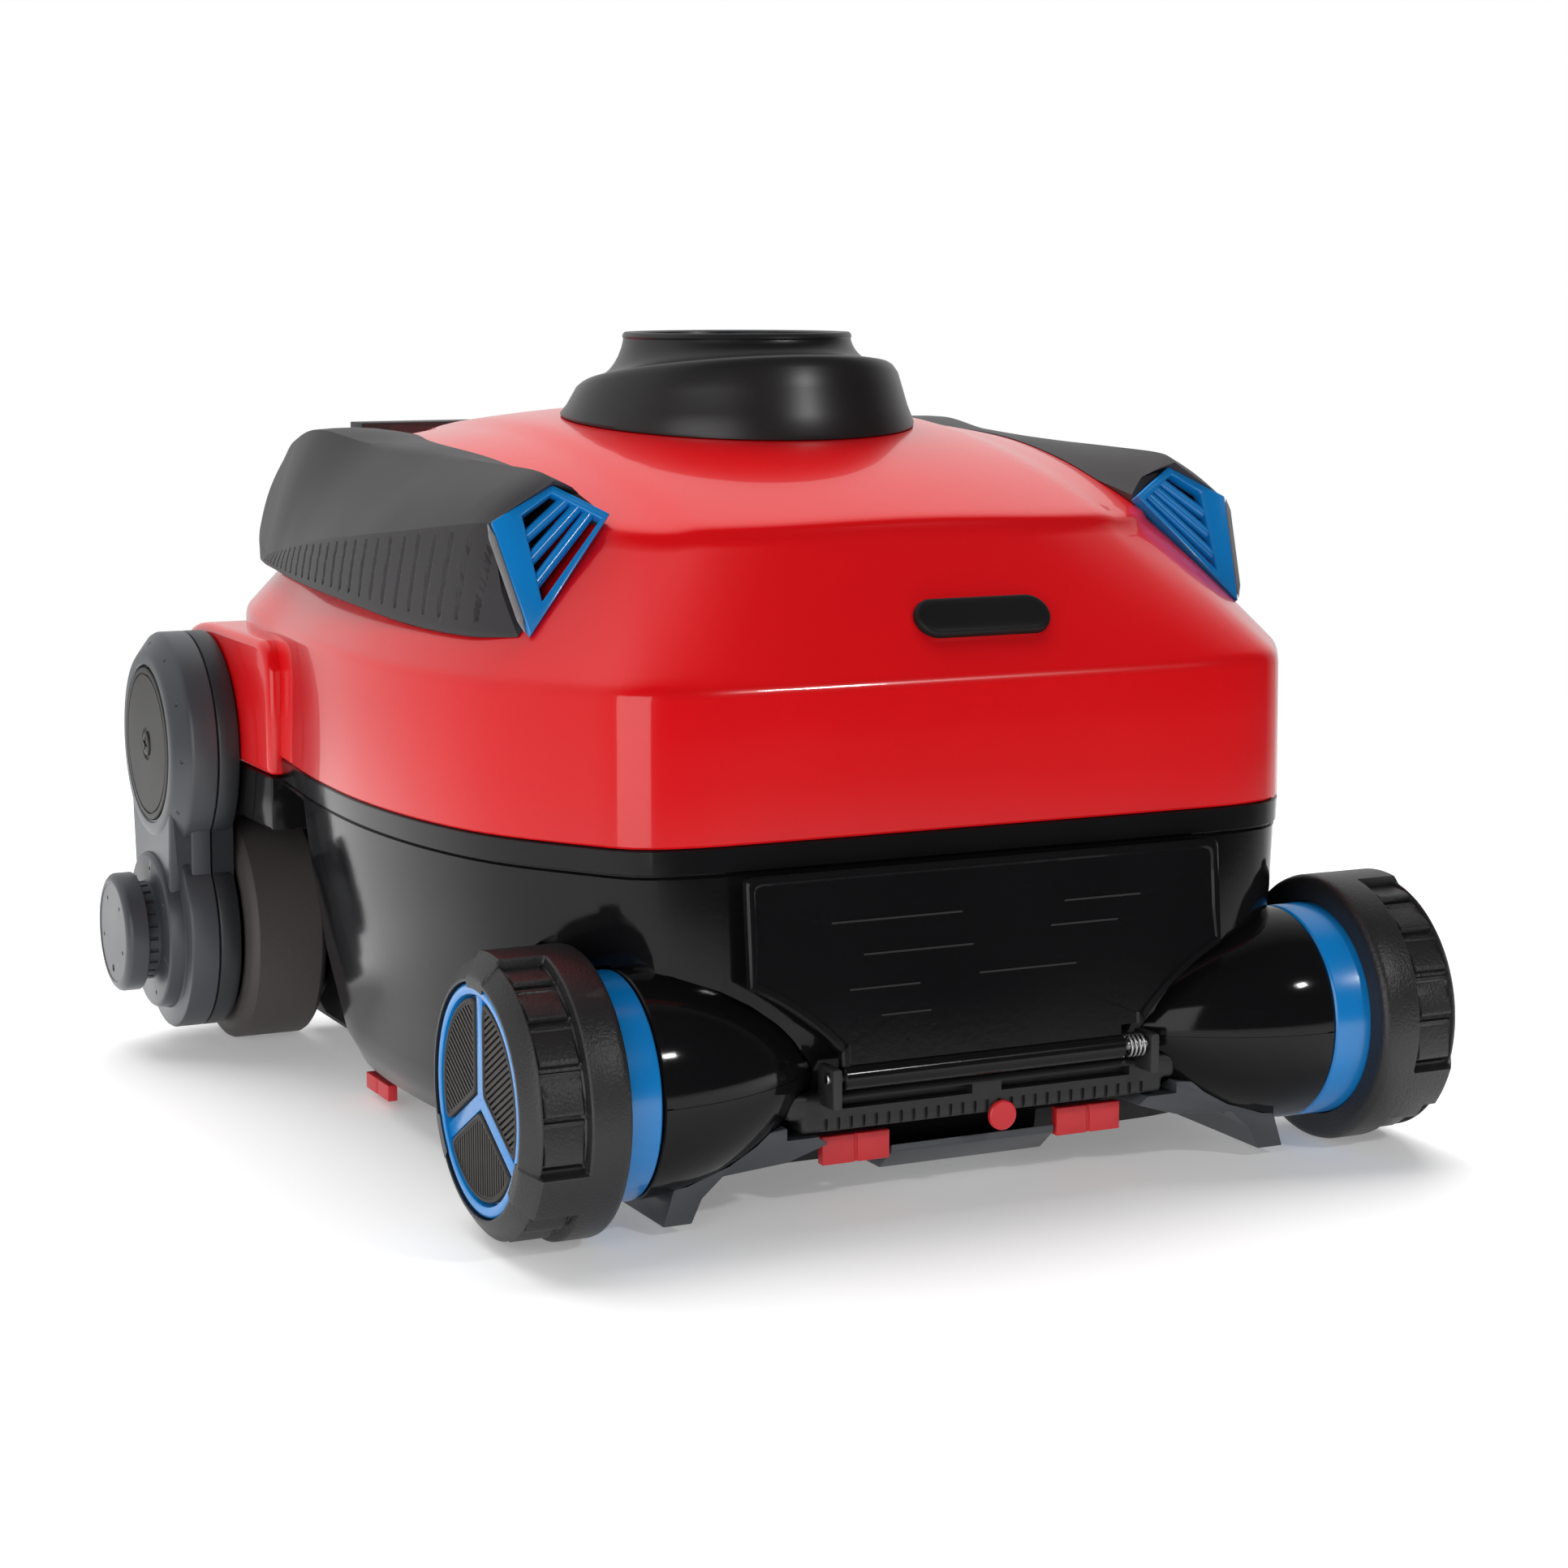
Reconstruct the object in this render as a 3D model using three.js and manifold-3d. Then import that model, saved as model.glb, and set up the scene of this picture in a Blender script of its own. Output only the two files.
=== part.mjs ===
// Robotic pool cleaner: two large front wheels, two rear wheels driven through gear arms, a domed
// upper shell with a water outlet collar on top, and a lower tub with a hinged front door.
// Millimetres, +Z up. The origin is on the ground under the middle of the whole cleaner.
// The front faces -Y. "left" is the -X side and "right" is the +X side.
import * as THREE from 'three';
import { mergeVertices } from 'three/addons/utils/BufferGeometryUtils.js';
import Module from 'manifold-3d';

const wasm = await Module();
wasm.setup();

// ---- Driving dimensions ----
const width = 450;                 // over the end caps of the two drive arms
const length = 452;                // from the front wheels to the rear of the shell
const height = 306.7;              // from the ground to the top of the outlet collar
const wall = 3;                    // wall of the shell and the tub
const gap = 0.3;                   // between pieces that touch
const clearance = 1.2;             // between pieces that move past each other

const frontWheelRadius = 51.1;
const frontWheelWidth = 37.8;
const frontHubRadius = 40.6;
const frontAxleRadius = 6;
const rearWheelRadius = 50;
const rearWheelWidth = 34;
const rearHubRadius = 38;
const rearAxleRadius = 6;

const armDepth = 27.7;             // thickness of the drive arm at its drum
const armCapReach = 17.3;          // how far the axle cap stands past the drum's face
const drumRadius = 47.5;
const armHubRadius = 43;
const gearModule = 3;
const driveTeeth = 16;             // on the motor gear and on the wheel gear
const idlerTeeth = 11;
const gearWidth = 6;
const gearShaftRadius = 4;

const seamHeight = 134;            // joint between the tub and the shell
const waistHeight = 189;           // top of the shell's upright band
const ridgeHeight = 241;           // where the sloped front meets the dome
const domeRise = 35;               // how far the dome climbs above that ridge
const domeFall = 10;               // how far it drops again out at the grips
const tubBottom = 14;
const lidThickness = 4.7;

const collarY = 20;                // the outlet's axis, from the middle of the cleaner
const collarRadius = 44.5;
const collarBore = 41;
const collarShoulderRadius = 63.5;
const collarSkirtRadius = 71.5;
const spinnerRadius = 17.5;

const doorHalfWidth = 96.2;
const doorTop = 124.4;
const doorThickness = 4.5;
const hingeHalfWidth = 62;
const hingePinRadius = 2;
const hingeBarrelRadius = 4.6;

const latchWidth = 27;
const latchHeight = 10.6;
const sideLatchHeight = 6.6;
const latchThickness = 4;
const latchSwing = 4;               // room above a latch for its top edge as it opens

// ---- Places worked out from them ----
const wheelReach = 39.9;                               // how far the front wheels stand past the shell
const front = -length / 2 + wheelReach;                // the shell's front face at the seam
const rear = length / 2;                                // the shell's rear face
const armFace = width / 2 - armCapReach;                // outer face of the drum, from the centre
const armInner = armFace - armDepth;                    // inner face of the drive arm
const bodyHalf = armInner + 2;                          // half the body's greatest width
const tyreOuter = armInner - 2;                         // outer face of a rear tyre
const tyreInner = tyreOuter - rearWheelWidth;
const archHalf = tyreInner - 2.4;                       // the tub's half width between rear wheels
const rearAxle = { y: rear - rearWheelRadius - 2, z: rearWheelRadius };
const gearReach = gearModule * (driveTeeth + idlerTeeth) / 2;
const drum = { y: rearAxle.y, z: rearAxle.z + 2 * gearReach };
const frontAxle = { y: -length / 2 + frontWheelRadius, z: frontWheelRadius };
const frontOuter = bodyHalf + 7.2;                      // outer face of a front wheel
const frontInner = frontOuter - frontWheelWidth;
const housingRim = frontInner - 15.4;                   // open end of a front wheel housing
const housingLength = 78;
const door = { y: front - 13.5, z: frontAxle.z };       // the door's hinge line

// ---- Materials ----
function paint(color, roughness, metalness = 0) {
  return new THREE.MeshStandardMaterial({ color, roughness, metalness });
}
const redShell = paint(0xc8101c, 0.22);
const blackGloss = paint(0x17171a, 0.2);
const darkGrey = paint(0x47464a, 0.6);
const slate = paint(0x50535a, 0.45);
const slateDark = paint(0x33373d, 0.45);
const blue = paint(0x0a78d6, 0.3);
const tyreBlack = paint(0x1b1b1d, 0.85);
const tyreBrown = paint(0x5b5557, 0.75);
const latchRed = paint(0xc4101a, 0.35);
const rubberBlack = paint(0x1a1a1a, 0.8);
const gearWhite = paint(0xd8d6cc, 0.5);
const steel = paint(0xb4b6b8, 0.25, 1);
const caseGrey = paint(0x6a6d72, 0.5);
const meshWhite = paint(0xdadde0, 0.7);

// ---- Solids ----
// Any closed geometry as a solid, whichever way round its faces were listed.
function solid(geometry) {
  const bare = geometry.clone();
  bare.deleteAttribute('normal');
  bare.deleteAttribute('uv');
  const merged = mergeVertices(bare, 1e-3);
  const position = merged.attributes.position;
  const corners = [];
  let volume = 0;
  const [a, b, c] = [new THREE.Vector3(), new THREE.Vector3(), new THREE.Vector3()];
  for (let i = 0; i < merged.index.count; i += 3) {
    const [i0, i1, i2] = [0, 1, 2].map((k) => merged.index.getX(i + k));
    if (i0 === i1 || i1 === i2 || i0 === i2) continue;
    a.fromBufferAttribute(position, i0);
    b.fromBufferAttribute(position, i1);
    c.fromBufferAttribute(position, i2);
    volume += a.dot(b.cross(c)) / 6;
    corners.push(i0, i1, i2);
  }
  if (volume < 0) corners.reverse();
  const triVerts = new Uint32Array(corners);
  const vertProperties = new Float32Array(position.array);
  return new wasm.Manifold(new wasm.Mesh({ numProp: 3, vertProperties, triVerts }));
}

function geometryOf(body) {
  const mesh = body.getMesh();
  const geometry = new THREE.BufferGeometry();
  geometry.setAttribute('position', new THREE.BufferAttribute(new Float32Array(mesh.vertProperties), 3));
  geometry.setIndex(new THREE.BufferAttribute(new Uint32Array(mesh.triVerts), 1));
  geometry.computeVertexNormals();
  return geometry;
}

function join(...bodies) {
  return bodies.reduce((whole, body) => whole.add(body));
}

function cut(body, ...tools) {
  return tools.reduce((rest, tool) => rest.subtract(tool), body);
}

// The same solid on the other side of the centre plane.
function mirrored(body) {
  return body.mirror([1, 0, 0]);
}

function box(x0, x1, y0, y1, z0, z1) {
  const block = new THREE.BoxGeometry(x1 - x0, y1 - y0, z1 - z0);
  return solid(block.translate((x0 + x1) / 2, (y0 + y1) / 2, (z0 + z1) / 2));
}

// A profile of [distance along X, radius] turned about the line parallel to X at (y, z).
// It starts and ends on the axis, or closes on itself.
function turnedX(profile, { y, z }, segments = 40) {
  const points = profile.map(([x, r]) => new THREE.Vector2(r, x));
  const lathe = new THREE.LatheGeometry(points, segments);
  return solid(lathe.rotateZ(-Math.PI / 2).translate(0, y, z));
}

// A profile of [radius, height] turned about the upright line at (x, y).
function turnedZ(profile, x, y, segments = 40) {
  const points = profile.map(([r, z]) => new THREE.Vector2(r, z));
  const lathe = new THREE.LatheGeometry(points, segments);
  return solid(lathe.rotateX(Math.PI / 2).translate(x, y, 0));
}

function rodX(x0, x1, radius, at, segments = 20) {
  return turnedX([[x0, 0], [x0, radius], [x1, radius], [x1, 0]], at, segments);
}

function rodZ(z0, z1, radius, x, y, segments = 24) {
  return turnedZ([[0, z0], [radius, z0], [radius, z1], [0, z1]], x, y, segments);
}

// A flat outline extruded along its own normal, then laid into the frame given by three axes.
function plate(shape, depth, origin, u, v, n) {
  const slab = new THREE.ExtrudeGeometry(shape, { depth, bevelEnabled: false, curveSegments: 8 });
  const basis = new THREE.Matrix4().makeBasis(u, v, n).setPosition(origin);
  return solid(slab.applyMatrix4(basis));
}

const alongX = new THREE.Vector3(1, 0, 0);
const alongY = new THREE.Vector3(0, 1, 0);
const alongZ = new THREE.Vector3(0, 0, 1);

// An outline in the YZ plane, extruded from x0 to x1.
function plateX(shape, x0, x1) {
  return plate(shape, x1 - x0, new THREE.Vector3(x0, 0, 0), alongY, alongZ, alongX);
}

// An outline in the XZ plane, extruded from y0 to y1.
function plateY(shape, y0, y1) {
  return plate(shape, y1 - y0, new THREE.Vector3(0, y1, 0), alongX, alongZ, alongY.clone().negate());
}

function polygon(points) {
  return new THREE.Shape(points.map(([x, y]) => new THREE.Vector2(x, y)));
}

// Two circles and the straight tangents that join them, in the YZ plane.
function strapShape(low, lowRadius, high, highRadius) {
  const shape = new THREE.Shape();
  const lean = Math.asin((lowRadius - highRadius) / (high.z - low.z));
  shape.absarc(high.y, high.z, highRadius, lean, Math.PI - lean, false);
  shape.absarc(low.y, low.z, lowRadius, Math.PI - lean, 2 * Math.PI + lean, false);
  return shape;
}

// The band of faces between two rings that start at the point numbers low and high.
// Its diagonals are mirrored on the second half, so a symmetric outline gives a symmetric skin.
function band(low, high, count) {
  return Array.from({ length: count }, (_, i) => {
    const j = (i + 1) % count;
    const [a, b, c, d] = [low + i, low + j, high + j, high + i];
    return i < count / 2 ? [a, b, c, a, c, d] : [a, b, d, b, c, d];
  }).flat();
}

// Rings of points with equal counts, skinned into one closed solid with flat-fan ends.
function loft(rings) {
  const count = rings[0].length;
  const points = rings.flat();
  const faces = rings.slice(1).flatMap((_, r) => band(r * count, (r + 1) * count, count));
  for (const [ring, start, turn] of [[rings[0], 0, -1], [rings.at(-1), (rings.length - 1) * count, 1]]) {
    const middle = ring.reduce((sum, p) => sum.add(p), new THREE.Vector3()).divideScalar(count);
    const hub = points.push(middle) - 1;
    for (let i = 0; i < count; i++) {
      const [p, q] = [start + i, start + (i + 1) % count];
      faces.push(hub, ...(turn > 0 ? [p, q] : [q, p]));
    }
  }
  return solid(surface(points, faces));
}

// Rings that close on the first again, as round a doughnut.
function loftLoop(rings) {
  const count = rings[0].length;
  const faces = rings.flatMap((_, r) => band(r * count, ((r + 1) % rings.length) * count, count));
  return solid(surface(rings.flat(), faces));
}

function surface(points, faces) {
  const geometry = new THREE.BufferGeometry();
  const numbers = points.flatMap((p) => [p.x, p.y, p.z]);
  geometry.setAttribute('position', new THREE.Float32BufferAttribute(numbers, 3));
  geometry.setIndex(faces);
  return geometry;
}

// ---- The assembly ----
const cleaner = new THREE.Group();
function add(name, body, material) {
  const mesh = new THREE.Mesh(geometryOf(body), material);
  mesh.name = name;
  cleaner.add(mesh);
}

// The right-hand piece is built, and the left-hand one is its mirror image.
function addPair(name, body, material) {
  add(`${name}_right`, body, material);
  add(`${name}_left`, mirrored(body), material);
}

// ---- Plan outlines ----
const ringCount = 48;

// A smooth closed outline through half of its points, given from front to rear, and their mirror.
function planCurve(half) {
  const right = half.map(([x, y]) => new THREE.Vector3(x, y, 0));
  const left = half.slice(1, -1).reverse().map(([x, y]) => new THREE.Vector3(-x, y, 0));
  return new THREE.CatmullRomCurve3([...right, ...left], true, 'centripetal').getPoints(240);
}

// The outline's points that lie in evenly spaced directions from the outlet's axis.
function planRing(curve) {
  return Array.from({ length: ringCount }, (_, i) => {
    const angle = 2 * Math.PI * i / ringCount;
    const [dx, dy] = [Math.sin(angle), -Math.cos(angle)];
    for (let k = 0; k < curve.length - 1; k++) {
      const [p, q] = [curve[k], curve[k + 1]];
      const [ex, ey] = [q.x - p.x, q.y - p.y];
      const across = dx * ey - dy * ex;
      const along = (p.x * ey - (p.y - collarY) * ex) / across;
      const part = (p.x * dy - (p.y - collarY) * dx) / across;
      if (along > 0 && part >= -1e-9 && part <= 1 + 1e-9) {
        return new THREE.Vector3(dx * along, collarY + dy * along, 0);
      }
    }
    throw new Error('the outline is open');
  });
}

function circleRing(radius, x = 0, y = collarY) {
  return Array.from({ length: ringCount }, (_, i) => {
    const angle = 2 * Math.PI * i / ringCount;
    return new THREE.Vector3(x + radius * Math.sin(angle), y - radius * Math.cos(angle), 0);
  });
}

// The ring moved sideways along its own normals: inwards for a positive distance.
function inset(ring, distance) {
  return ring.map((p, i) => {
    const before = ring[(i + ringCount - 1) % ringCount];
    const after = ring[(i + 1) % ringCount];
    const run = new THREE.Vector3().subVectors(after, before).setZ(0).normalize();
    return new THREE.Vector3(p.x - run.y * distance, p.y + run.x * distance, p.z);
  });
}

function atHeight(ring, z) {
  return ring.map((p) => new THREE.Vector3(p.x, p.y, typeof z === 'function' ? z(p) : z));
}

function between(ringA, ringB, t) {
  return ringA.map((p, i) => p.clone().lerp(ringB[i], t));
}

// The body's outline: a broad front, faceted front corners, bowed flanks and a rounder rear.
function bodyPlan(half, y0, y1) {
  return planRing(planCurve([
    [0, y0], [half - 107, y0], [half - 70, y0 + 1.5], [half - 51, y0 + 8], [half - 37, y0 + 26],
    [half - 17, y0 + 60], [half - 6, y0 + 98], [half, y0 + 150], [half - 1, y0 + 210],
    [half - 8, y1 - 130], [half - 14, y1 - 70], [half - 32, y1 - 25], [half - 72, y1 - 4],
    [half - 112, y1 - 0.4], [0, y1],
  ]));
}

// ---- Upper shell ----
const domeHalf = bodyHalf - 56;                        // the ridge's half width, under the grips
const domeFront = front + 46;
const domeRear = rear - 76;
const gripInset = bodyHalf - 69;                       // where the dome meets the grips

function domeHeight(p) {
  const run = (p.y - (domeFront + 200)) / 200;
  return ridgeHeight + domeRise * (1 - run * run) - domeFall * (p.x / gripInset) ** 2;
}

function ridgePlan() {
  return planRing(planCurve([
    [0, domeFront], [domeHalf - 66, domeFront + 4], [domeHalf - 26, domeFront + 18],
    [domeHalf - 8, domeFront + 38], [domeHalf, domeFront + 100], [domeHalf, domeRear - 110],
    [domeHalf - 6, domeRear - 40], [domeHalf - 36, domeRear - 6], [0, domeRear],
  ]));
}

// The shell's outer surface, moved outwards by grow, from the seam up to the outlet.
function shellRings(grow, holeRadius, bottom = seamHeight + gap / 2) {
  const deck = inset(bodyPlan(bodyHalf, front, rear), -grow);
  const ridge = inset(ridgePlan(), -grow);
  const seat = circleRing(collarSkirtRadius);
  const dome = (p) => domeHeight(p) + grow;
  return [
    atHeight(deck, bottom),
    atHeight(inset(deck, 0.8), waistHeight - 2 + grow / 2),
    atHeight(inset(deck, 3.2), waistHeight + 1.5 + grow / 2),
    atHeight(between(inset(deck, 3.2), ridge, 0.94), (p) => domeHeight(p) - 5.5 + grow),
    atHeight(between(ridge, seat, 0.06), dome),
    atHeight(between(ridge, seat, 0.5), dome),
    atHeight(seat, dome),
    atHeight(circleRing(holeRadius), dome),
  ];
}

function shellBlock(grow) {
  return loft(shellRings(grow, 20, seamHeight - 12));
}

const portX = 10;                                      // the charging port, right of the centre
const portHeight = 206.8;
const slopeUp = new THREE.Vector3(0, domeFront - front - 3, ridgeHeight - waistHeight - 2).normalize();
const slopeOut = new THREE.Vector3(0, -slopeUp.z, slopeUp.y);
const portY = front + 3 + (portHeight - waistHeight) * slopeUp.y / slopeUp.z;
const portAt = new THREE.Vector3(portX, portY, portHeight);
const socketRadius = 6.6;

function slotShape(long, high) {
  const shape = new THREE.Shape();
  const [reach, r] = [(long - high) / 2, high / 2];
  shape.absarc(reach, 0, r, -Math.PI / 2, Math.PI / 2, false);
  shape.absarc(-reach, 0, r, Math.PI / 2, 3 * Math.PI / 2, false);
  return shape;
}

// A round rod through the port, from inner to outer along the slope's normal.
function portRod(radius, inner, outer) {
  const circle = new THREE.Shape().absarc(0, 0, radius, 0, 2 * Math.PI, false);
  const start = portAt.clone().addScaledVector(slopeOut, inner);
  return plate(circle, outer - inner, start, alongX, slopeUp, slopeOut);
}

const bossHalf = bodyHalf - 34;                        // inner side of the block that bears the arm
const bossFront = drum.y - 86;
const bossTop = drum.z + 50;
const bossBottom = seamHeight - 7.7;

// The rounded block on the shell's flank that the drive arm is bolted to.
function armBoss() {
  const r = 16;
  const shape = new THREE.Shape();
  shape.moveTo(bossFront, bossBottom);
  shape.lineTo(drum.y + drumRadius - 4, bossBottom);
  shape.lineTo(drum.y + drumRadius - 4, bossTop - 22);
  shape.quadraticCurveTo(drum.y + 38, bossTop, drum.y, bossTop);
  shape.lineTo(bossFront + r, bossTop);
  shape.quadraticCurveTo(bossFront, bossTop, bossFront, bossTop - r);
  return plateX(shape, bossHalf + gap, armInner - gap);
}

function buildShell() {
  const outer = shellRings(0, 47);
  const inner = shellRings(-wall, 47).reverse();
  const skin = loftLoop([...outer, ...inner]);
  const boss = armBoss();
  const shaftHole = rodX(bossHalf - 5, armInner + 5, gearShaftRadius + clearance, drum);
  const bosses = join(boss, mirrored(boss));
  const holes = join(shaftHole, mirrored(shaftHole), portRod(socketRadius + gap, -20, 20));
  return cut(join(skin, bosses), holes);
}
const shellCutter = shellBlock(gap);
add('upper_shell', buildShell(), redShell);

// ---- Front wheel housings: bullet-shaped, with an open end towards the wheel ----
function housingRadius(x, rim = frontHubRadius - 0.2) {
  const along = (x - (housingRim - housingLength)) / housingLength;
  return rim * Math.sin(Math.PI / 2 * Math.max(0, along) ** 0.8);
}

const housingSteps = [0, 0.04, 0.13, 0.3, 0.58, 1];

function housingProfile(grow) {
  return housingSteps.map((t) => {
    const x = housingRim - housingLength + t * housingLength;
    return [t === 0 ? x - grow : x, t === 0 ? 0 : housingRadius(x) + grow];
  });
}

function housingCutter(grow) {
  const profile = housingProfile(grow);
  profile.push([housingRim + 4, profile.at(-1)[1]], [housingRim + 4, 0]);
  return turnedX(profile, frontAxle, 28);
}

function buildHousing() {
  const inside = housingProfile(-wall).filter(([, r]) => r > 2).reverse();
  const plateFace = housingRim - 5;
  inside[0] = [plateFace, inside[0][1]];
  const bore = frontAxleRadius + gap;
  const tip = inside.at(-1)[0] - 1;
  const hubPlate = [[housingRim, bore], [plateFace, bore]];
  return turnedX([...housingProfile(0), ...hubPlate, ...inside, [tip, 0]], frontAxle, 28);
}
addPair('front_housing', buildHousing(), blackGloss);

// ---- Lower tub ----
function tubRings(grow, top) {
  const at = (dx, dFront, dRear, z) => atHeight(
    inset(bodyPlan(bodyHalf - dx, front + dFront, rear - dRear), -grow), z);
  return [
    at(24, 15, 24, tubBottom - grow), at(17, 7, 17, tubBottom + 12), at(9, -4, 7, 60),
    at(3, -2, 2, 100), at(0, 0, 0, top),
  ];
}

const archFront = drum.y - 122;                        // front edge of a rear wheel arch
const archTop = seamHeight - 12;

// The spaces that the wheels and their housings take from the tub, on both sides.
function wheelSpaces(grow, housing) {
  const arch = box(archHalf - grow, bodyHalf + 40, archFront - grow, rear + 40, -20, archTop + grow);
  const tyreSpace = rodX(frontInner - 2.6 - grow, bodyHalf + 40, frontWheelRadius + 5 + grow, frontAxle, 24);
  const hubSpace = rodX(housingRim - grow, frontInner, frontHubRadius + clearance + grow, frontAxle, 24);
  const right = join(arch, tyreSpace, hubSpace, housing);
  return join(right, mirrored(right));
}

const doorOpening = { half: 58, low: 66, high: 116 };

function buildTub() {
  const pocket = rodX(housingRim - housingLength, housingRim, frontHubRadius + wall, frontAxle, 16);
  const outer = cut(loft(tubRings(0, seamHeight - gap / 2)), wheelSpaces(0, housingCutter(gap)));
  const inner = cut(loft(tubRings(-wall, seamHeight + 5)), wheelSpaces(wall, pocket));
  const notch = box(bossHalf, bodyHalf + 20, bossFront - gap, rear + 10, bossBottom - gap, seamHeight + 10);
  const floorHole = box(-112, 112, -110, 160, 0, 25);
  const { half, low, high } = doorOpening;
  const doorHole = box(-half, half, front - 20, front + 20, low, high);
  return cut(outer, inner, notch, mirrored(notch), floorHole, doorHole);
}
const tub = buildTub();
add('lower_tub', tub, blackGloss);

// ---- Bottom lid with its two intakes ----
const lidHalf = archHalf - 4;
const lidTop = tubBottom - gap;
const lidBottom = lidTop - lidThickness;
const intake = { x0: 42, x1: 100, y0: -30, y1: 22 };

function buildLid() {
  const body = box(-lidHalf, lidHalf, front + 56, rear - 46, lidBottom, lidTop);
  const hole = box(intake.x0, intake.x1, intake.y0, intake.y1, lidBottom - 5, lidTop + 5);
  const { x0, x1, y0, y1 } = intake;
  const lipOut = box(x0 - 5, x1 + 5, y0 - 5, y1 + 5, lidBottom - 3, lidBottom + 1);
  const frame = cut(lipOut, hole);
  return cut(join(body, frame, mirrored(frame)), hole, mirrored(hole));
}
add('bottom_lid', buildLid(), blackGloss);

// ---- Front sill, with the hinge ears for the door ----
const sill = { half: 80, y0: door.y + 6, low: 30, high: door.z - 7 };
const earWidth = 4;
const earRise = 4;                                     // how far the ears stand above the pin's axis

function buildSill() {
  const shape = new THREE.Shape();
  const { half, low, high } = sill;
  shape.moveTo(-half, high);
  shape.lineTo(-half, low + 8);
  shape.quadraticCurveTo(-half, low, -half + 8, low);
  shape.lineTo(half - 8, low);
  shape.quadraticCurveTo(half, low, half, low + 8);
  shape.lineTo(half, high);
  const bar = plateY(shape, sill.y0, front + 4);
  const slot = box(6, 60, sill.y0 - 5, sill.y0 + 7, high - 6, high - 2.5);
  const earX = hingeHalfWidth + 1;
  const ear = box(earX, earX + earWidth, door.y - 4, sill.y0 + 3, high - 4, door.z + earRise);
  const bore = rodX(earX - 5, earX + earWidth + 5, hingePinRadius + 0.2, door, 16);
  const body = join(bar, ear, mirrored(ear));
  const tubOutside = join(loft(tubRings(gap, seamHeight)), housingCutter(gap), mirrored(housingCutter(gap)));
  return cut(body, tubOutside, slot, mirrored(slot), bore, mirrored(bore));
}
add('front_sill', buildSill(), blackGloss);

// ---- Front door ----
const doorHeight = doorTop - door.z;
const doorLean = (front - 6.5 - door.y) / doorHeight;   // how the panel leans back as it rises
const doorUp = new THREE.Vector3(0, doorLean, 1).normalize();
const doorOut = new THREE.Vector3(0, -doorUp.z, doorUp.y);
const springWidth = 10;

function buildDoor() {
  const edge = [];
  for (let i = 0; i <= 6; i++) {
    const x = THREE.MathUtils.lerp(doorHalfWidth, hingeHalfWidth, i / 6);
    edge.push([x, Math.max(housingRadius(x) + 3, earRise + clearance) / doorUp.z]);
  }
  const right = [[doorHalfWidth, doorHeight], ...edge, [hingeHalfWidth, 0]];
  const left = right.map(([x, s]) => [-x, s]).reverse();
  const start = new THREE.Vector3(0, door.y, door.z).addScaledVector(doorOut, -doorThickness / 2);
  const panel = plate(polygon([...right, ...left]), doorThickness, start, alongX, doorUp, doorOut);
  const barrel = rodX(-hingeHalfWidth, hingeHalfWidth, hingeBarrelRadius, door, 20);
  const bore = rodX(-width, width, hingePinRadius + 0.3, door, 16);
  const springX = hingeHalfWidth - springWidth;
  const springSpace = box(springX, hingeHalfWidth + 5, door.y - 8, door.y + 8, door.z - 8, door.z + 8);
  return cut(join(panel, barrel), bore, springSpace);
}
add('front_door', buildDoor(), blackGloss);

const pinHalf = hingeHalfWidth + earWidth + 2;
add('door_hinge_pin', rodX(-pinHalf, pinHalf, hingePinRadius, door, 16), steel);

// A torsion spring round the pin at one end of the door.
class SpringLine extends THREE.Curve {
  getPoint(t, target = new THREE.Vector3()) {
    const [turns, radius, wire] = [4, 4.1, 0.5];
    const angle = 2 * Math.PI * turns * t;
    const x = hingeHalfWidth - springWidth + 1.6 + t * (springWidth - 2.4 - wire);
    return target.set(x, door.y + radius * Math.sin(angle), door.z - radius * Math.cos(angle));
  }
}
function buildSpring() {
  const wire = new THREE.Shape().absarc(0, 0, 0.5, 0, 2 * Math.PI, false);
  const options = { steps: 36, bevelEnabled: false, curveSegments: 3, extrudePath: new SpringLine() };
  return solid(new THREE.ExtrudeGeometry(wire, options));
}
add('door_spring', buildSpring(), steel);

// ---- Front wheels ----
function buildFrontHub() {
  const [face, dish, boreEnd] = [frontOuter - 0.6, frontOuter - 5, frontOuter - 13];
  const r = frontHubRadius;
  const bore = frontAxleRadius + 0.6;
  const start = housingRim + 0.8;
  const drumBody = turnedX([
    [boreEnd, 0], [boreEnd, bore], [start, bore], [start, r - 0.2], [frontInner - 4, r - 0.2],
    [frontInner, r], [face, r], [face, r - 5], [dish, r - 6.5], [dish, 0],
  ], frontAxle, 36);
  const spokes = [0, 1, 2].map((k) => spoke(k * 120 + 90, dish - 1, dish + 3.4, 3.2, r - 8.8));
  return join(drumBody, ...spokes);
}

// A straight bar from the wheel's centre outwards, at an angle in the wheel's plane.
function spoke(degrees, x0, x1, halfWidth, reach) {
  const shape = polygon([[0, -halfWidth], [reach, -halfWidth], [reach, halfWidth], [0, halfWidth]]);
  const bar = new THREE.ExtrudeGeometry(shape, { depth: x1 - x0, bevelEnabled: false });
  const basis = new THREE.Matrix4().makeBasis(alongY, alongZ, alongX);
  bar.rotateZ(THREE.MathUtils.degToRad(degrees)).applyMatrix4(basis);
  return solid(bar.translate(x0, frontAxle.y, frontAxle.z));
}

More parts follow.
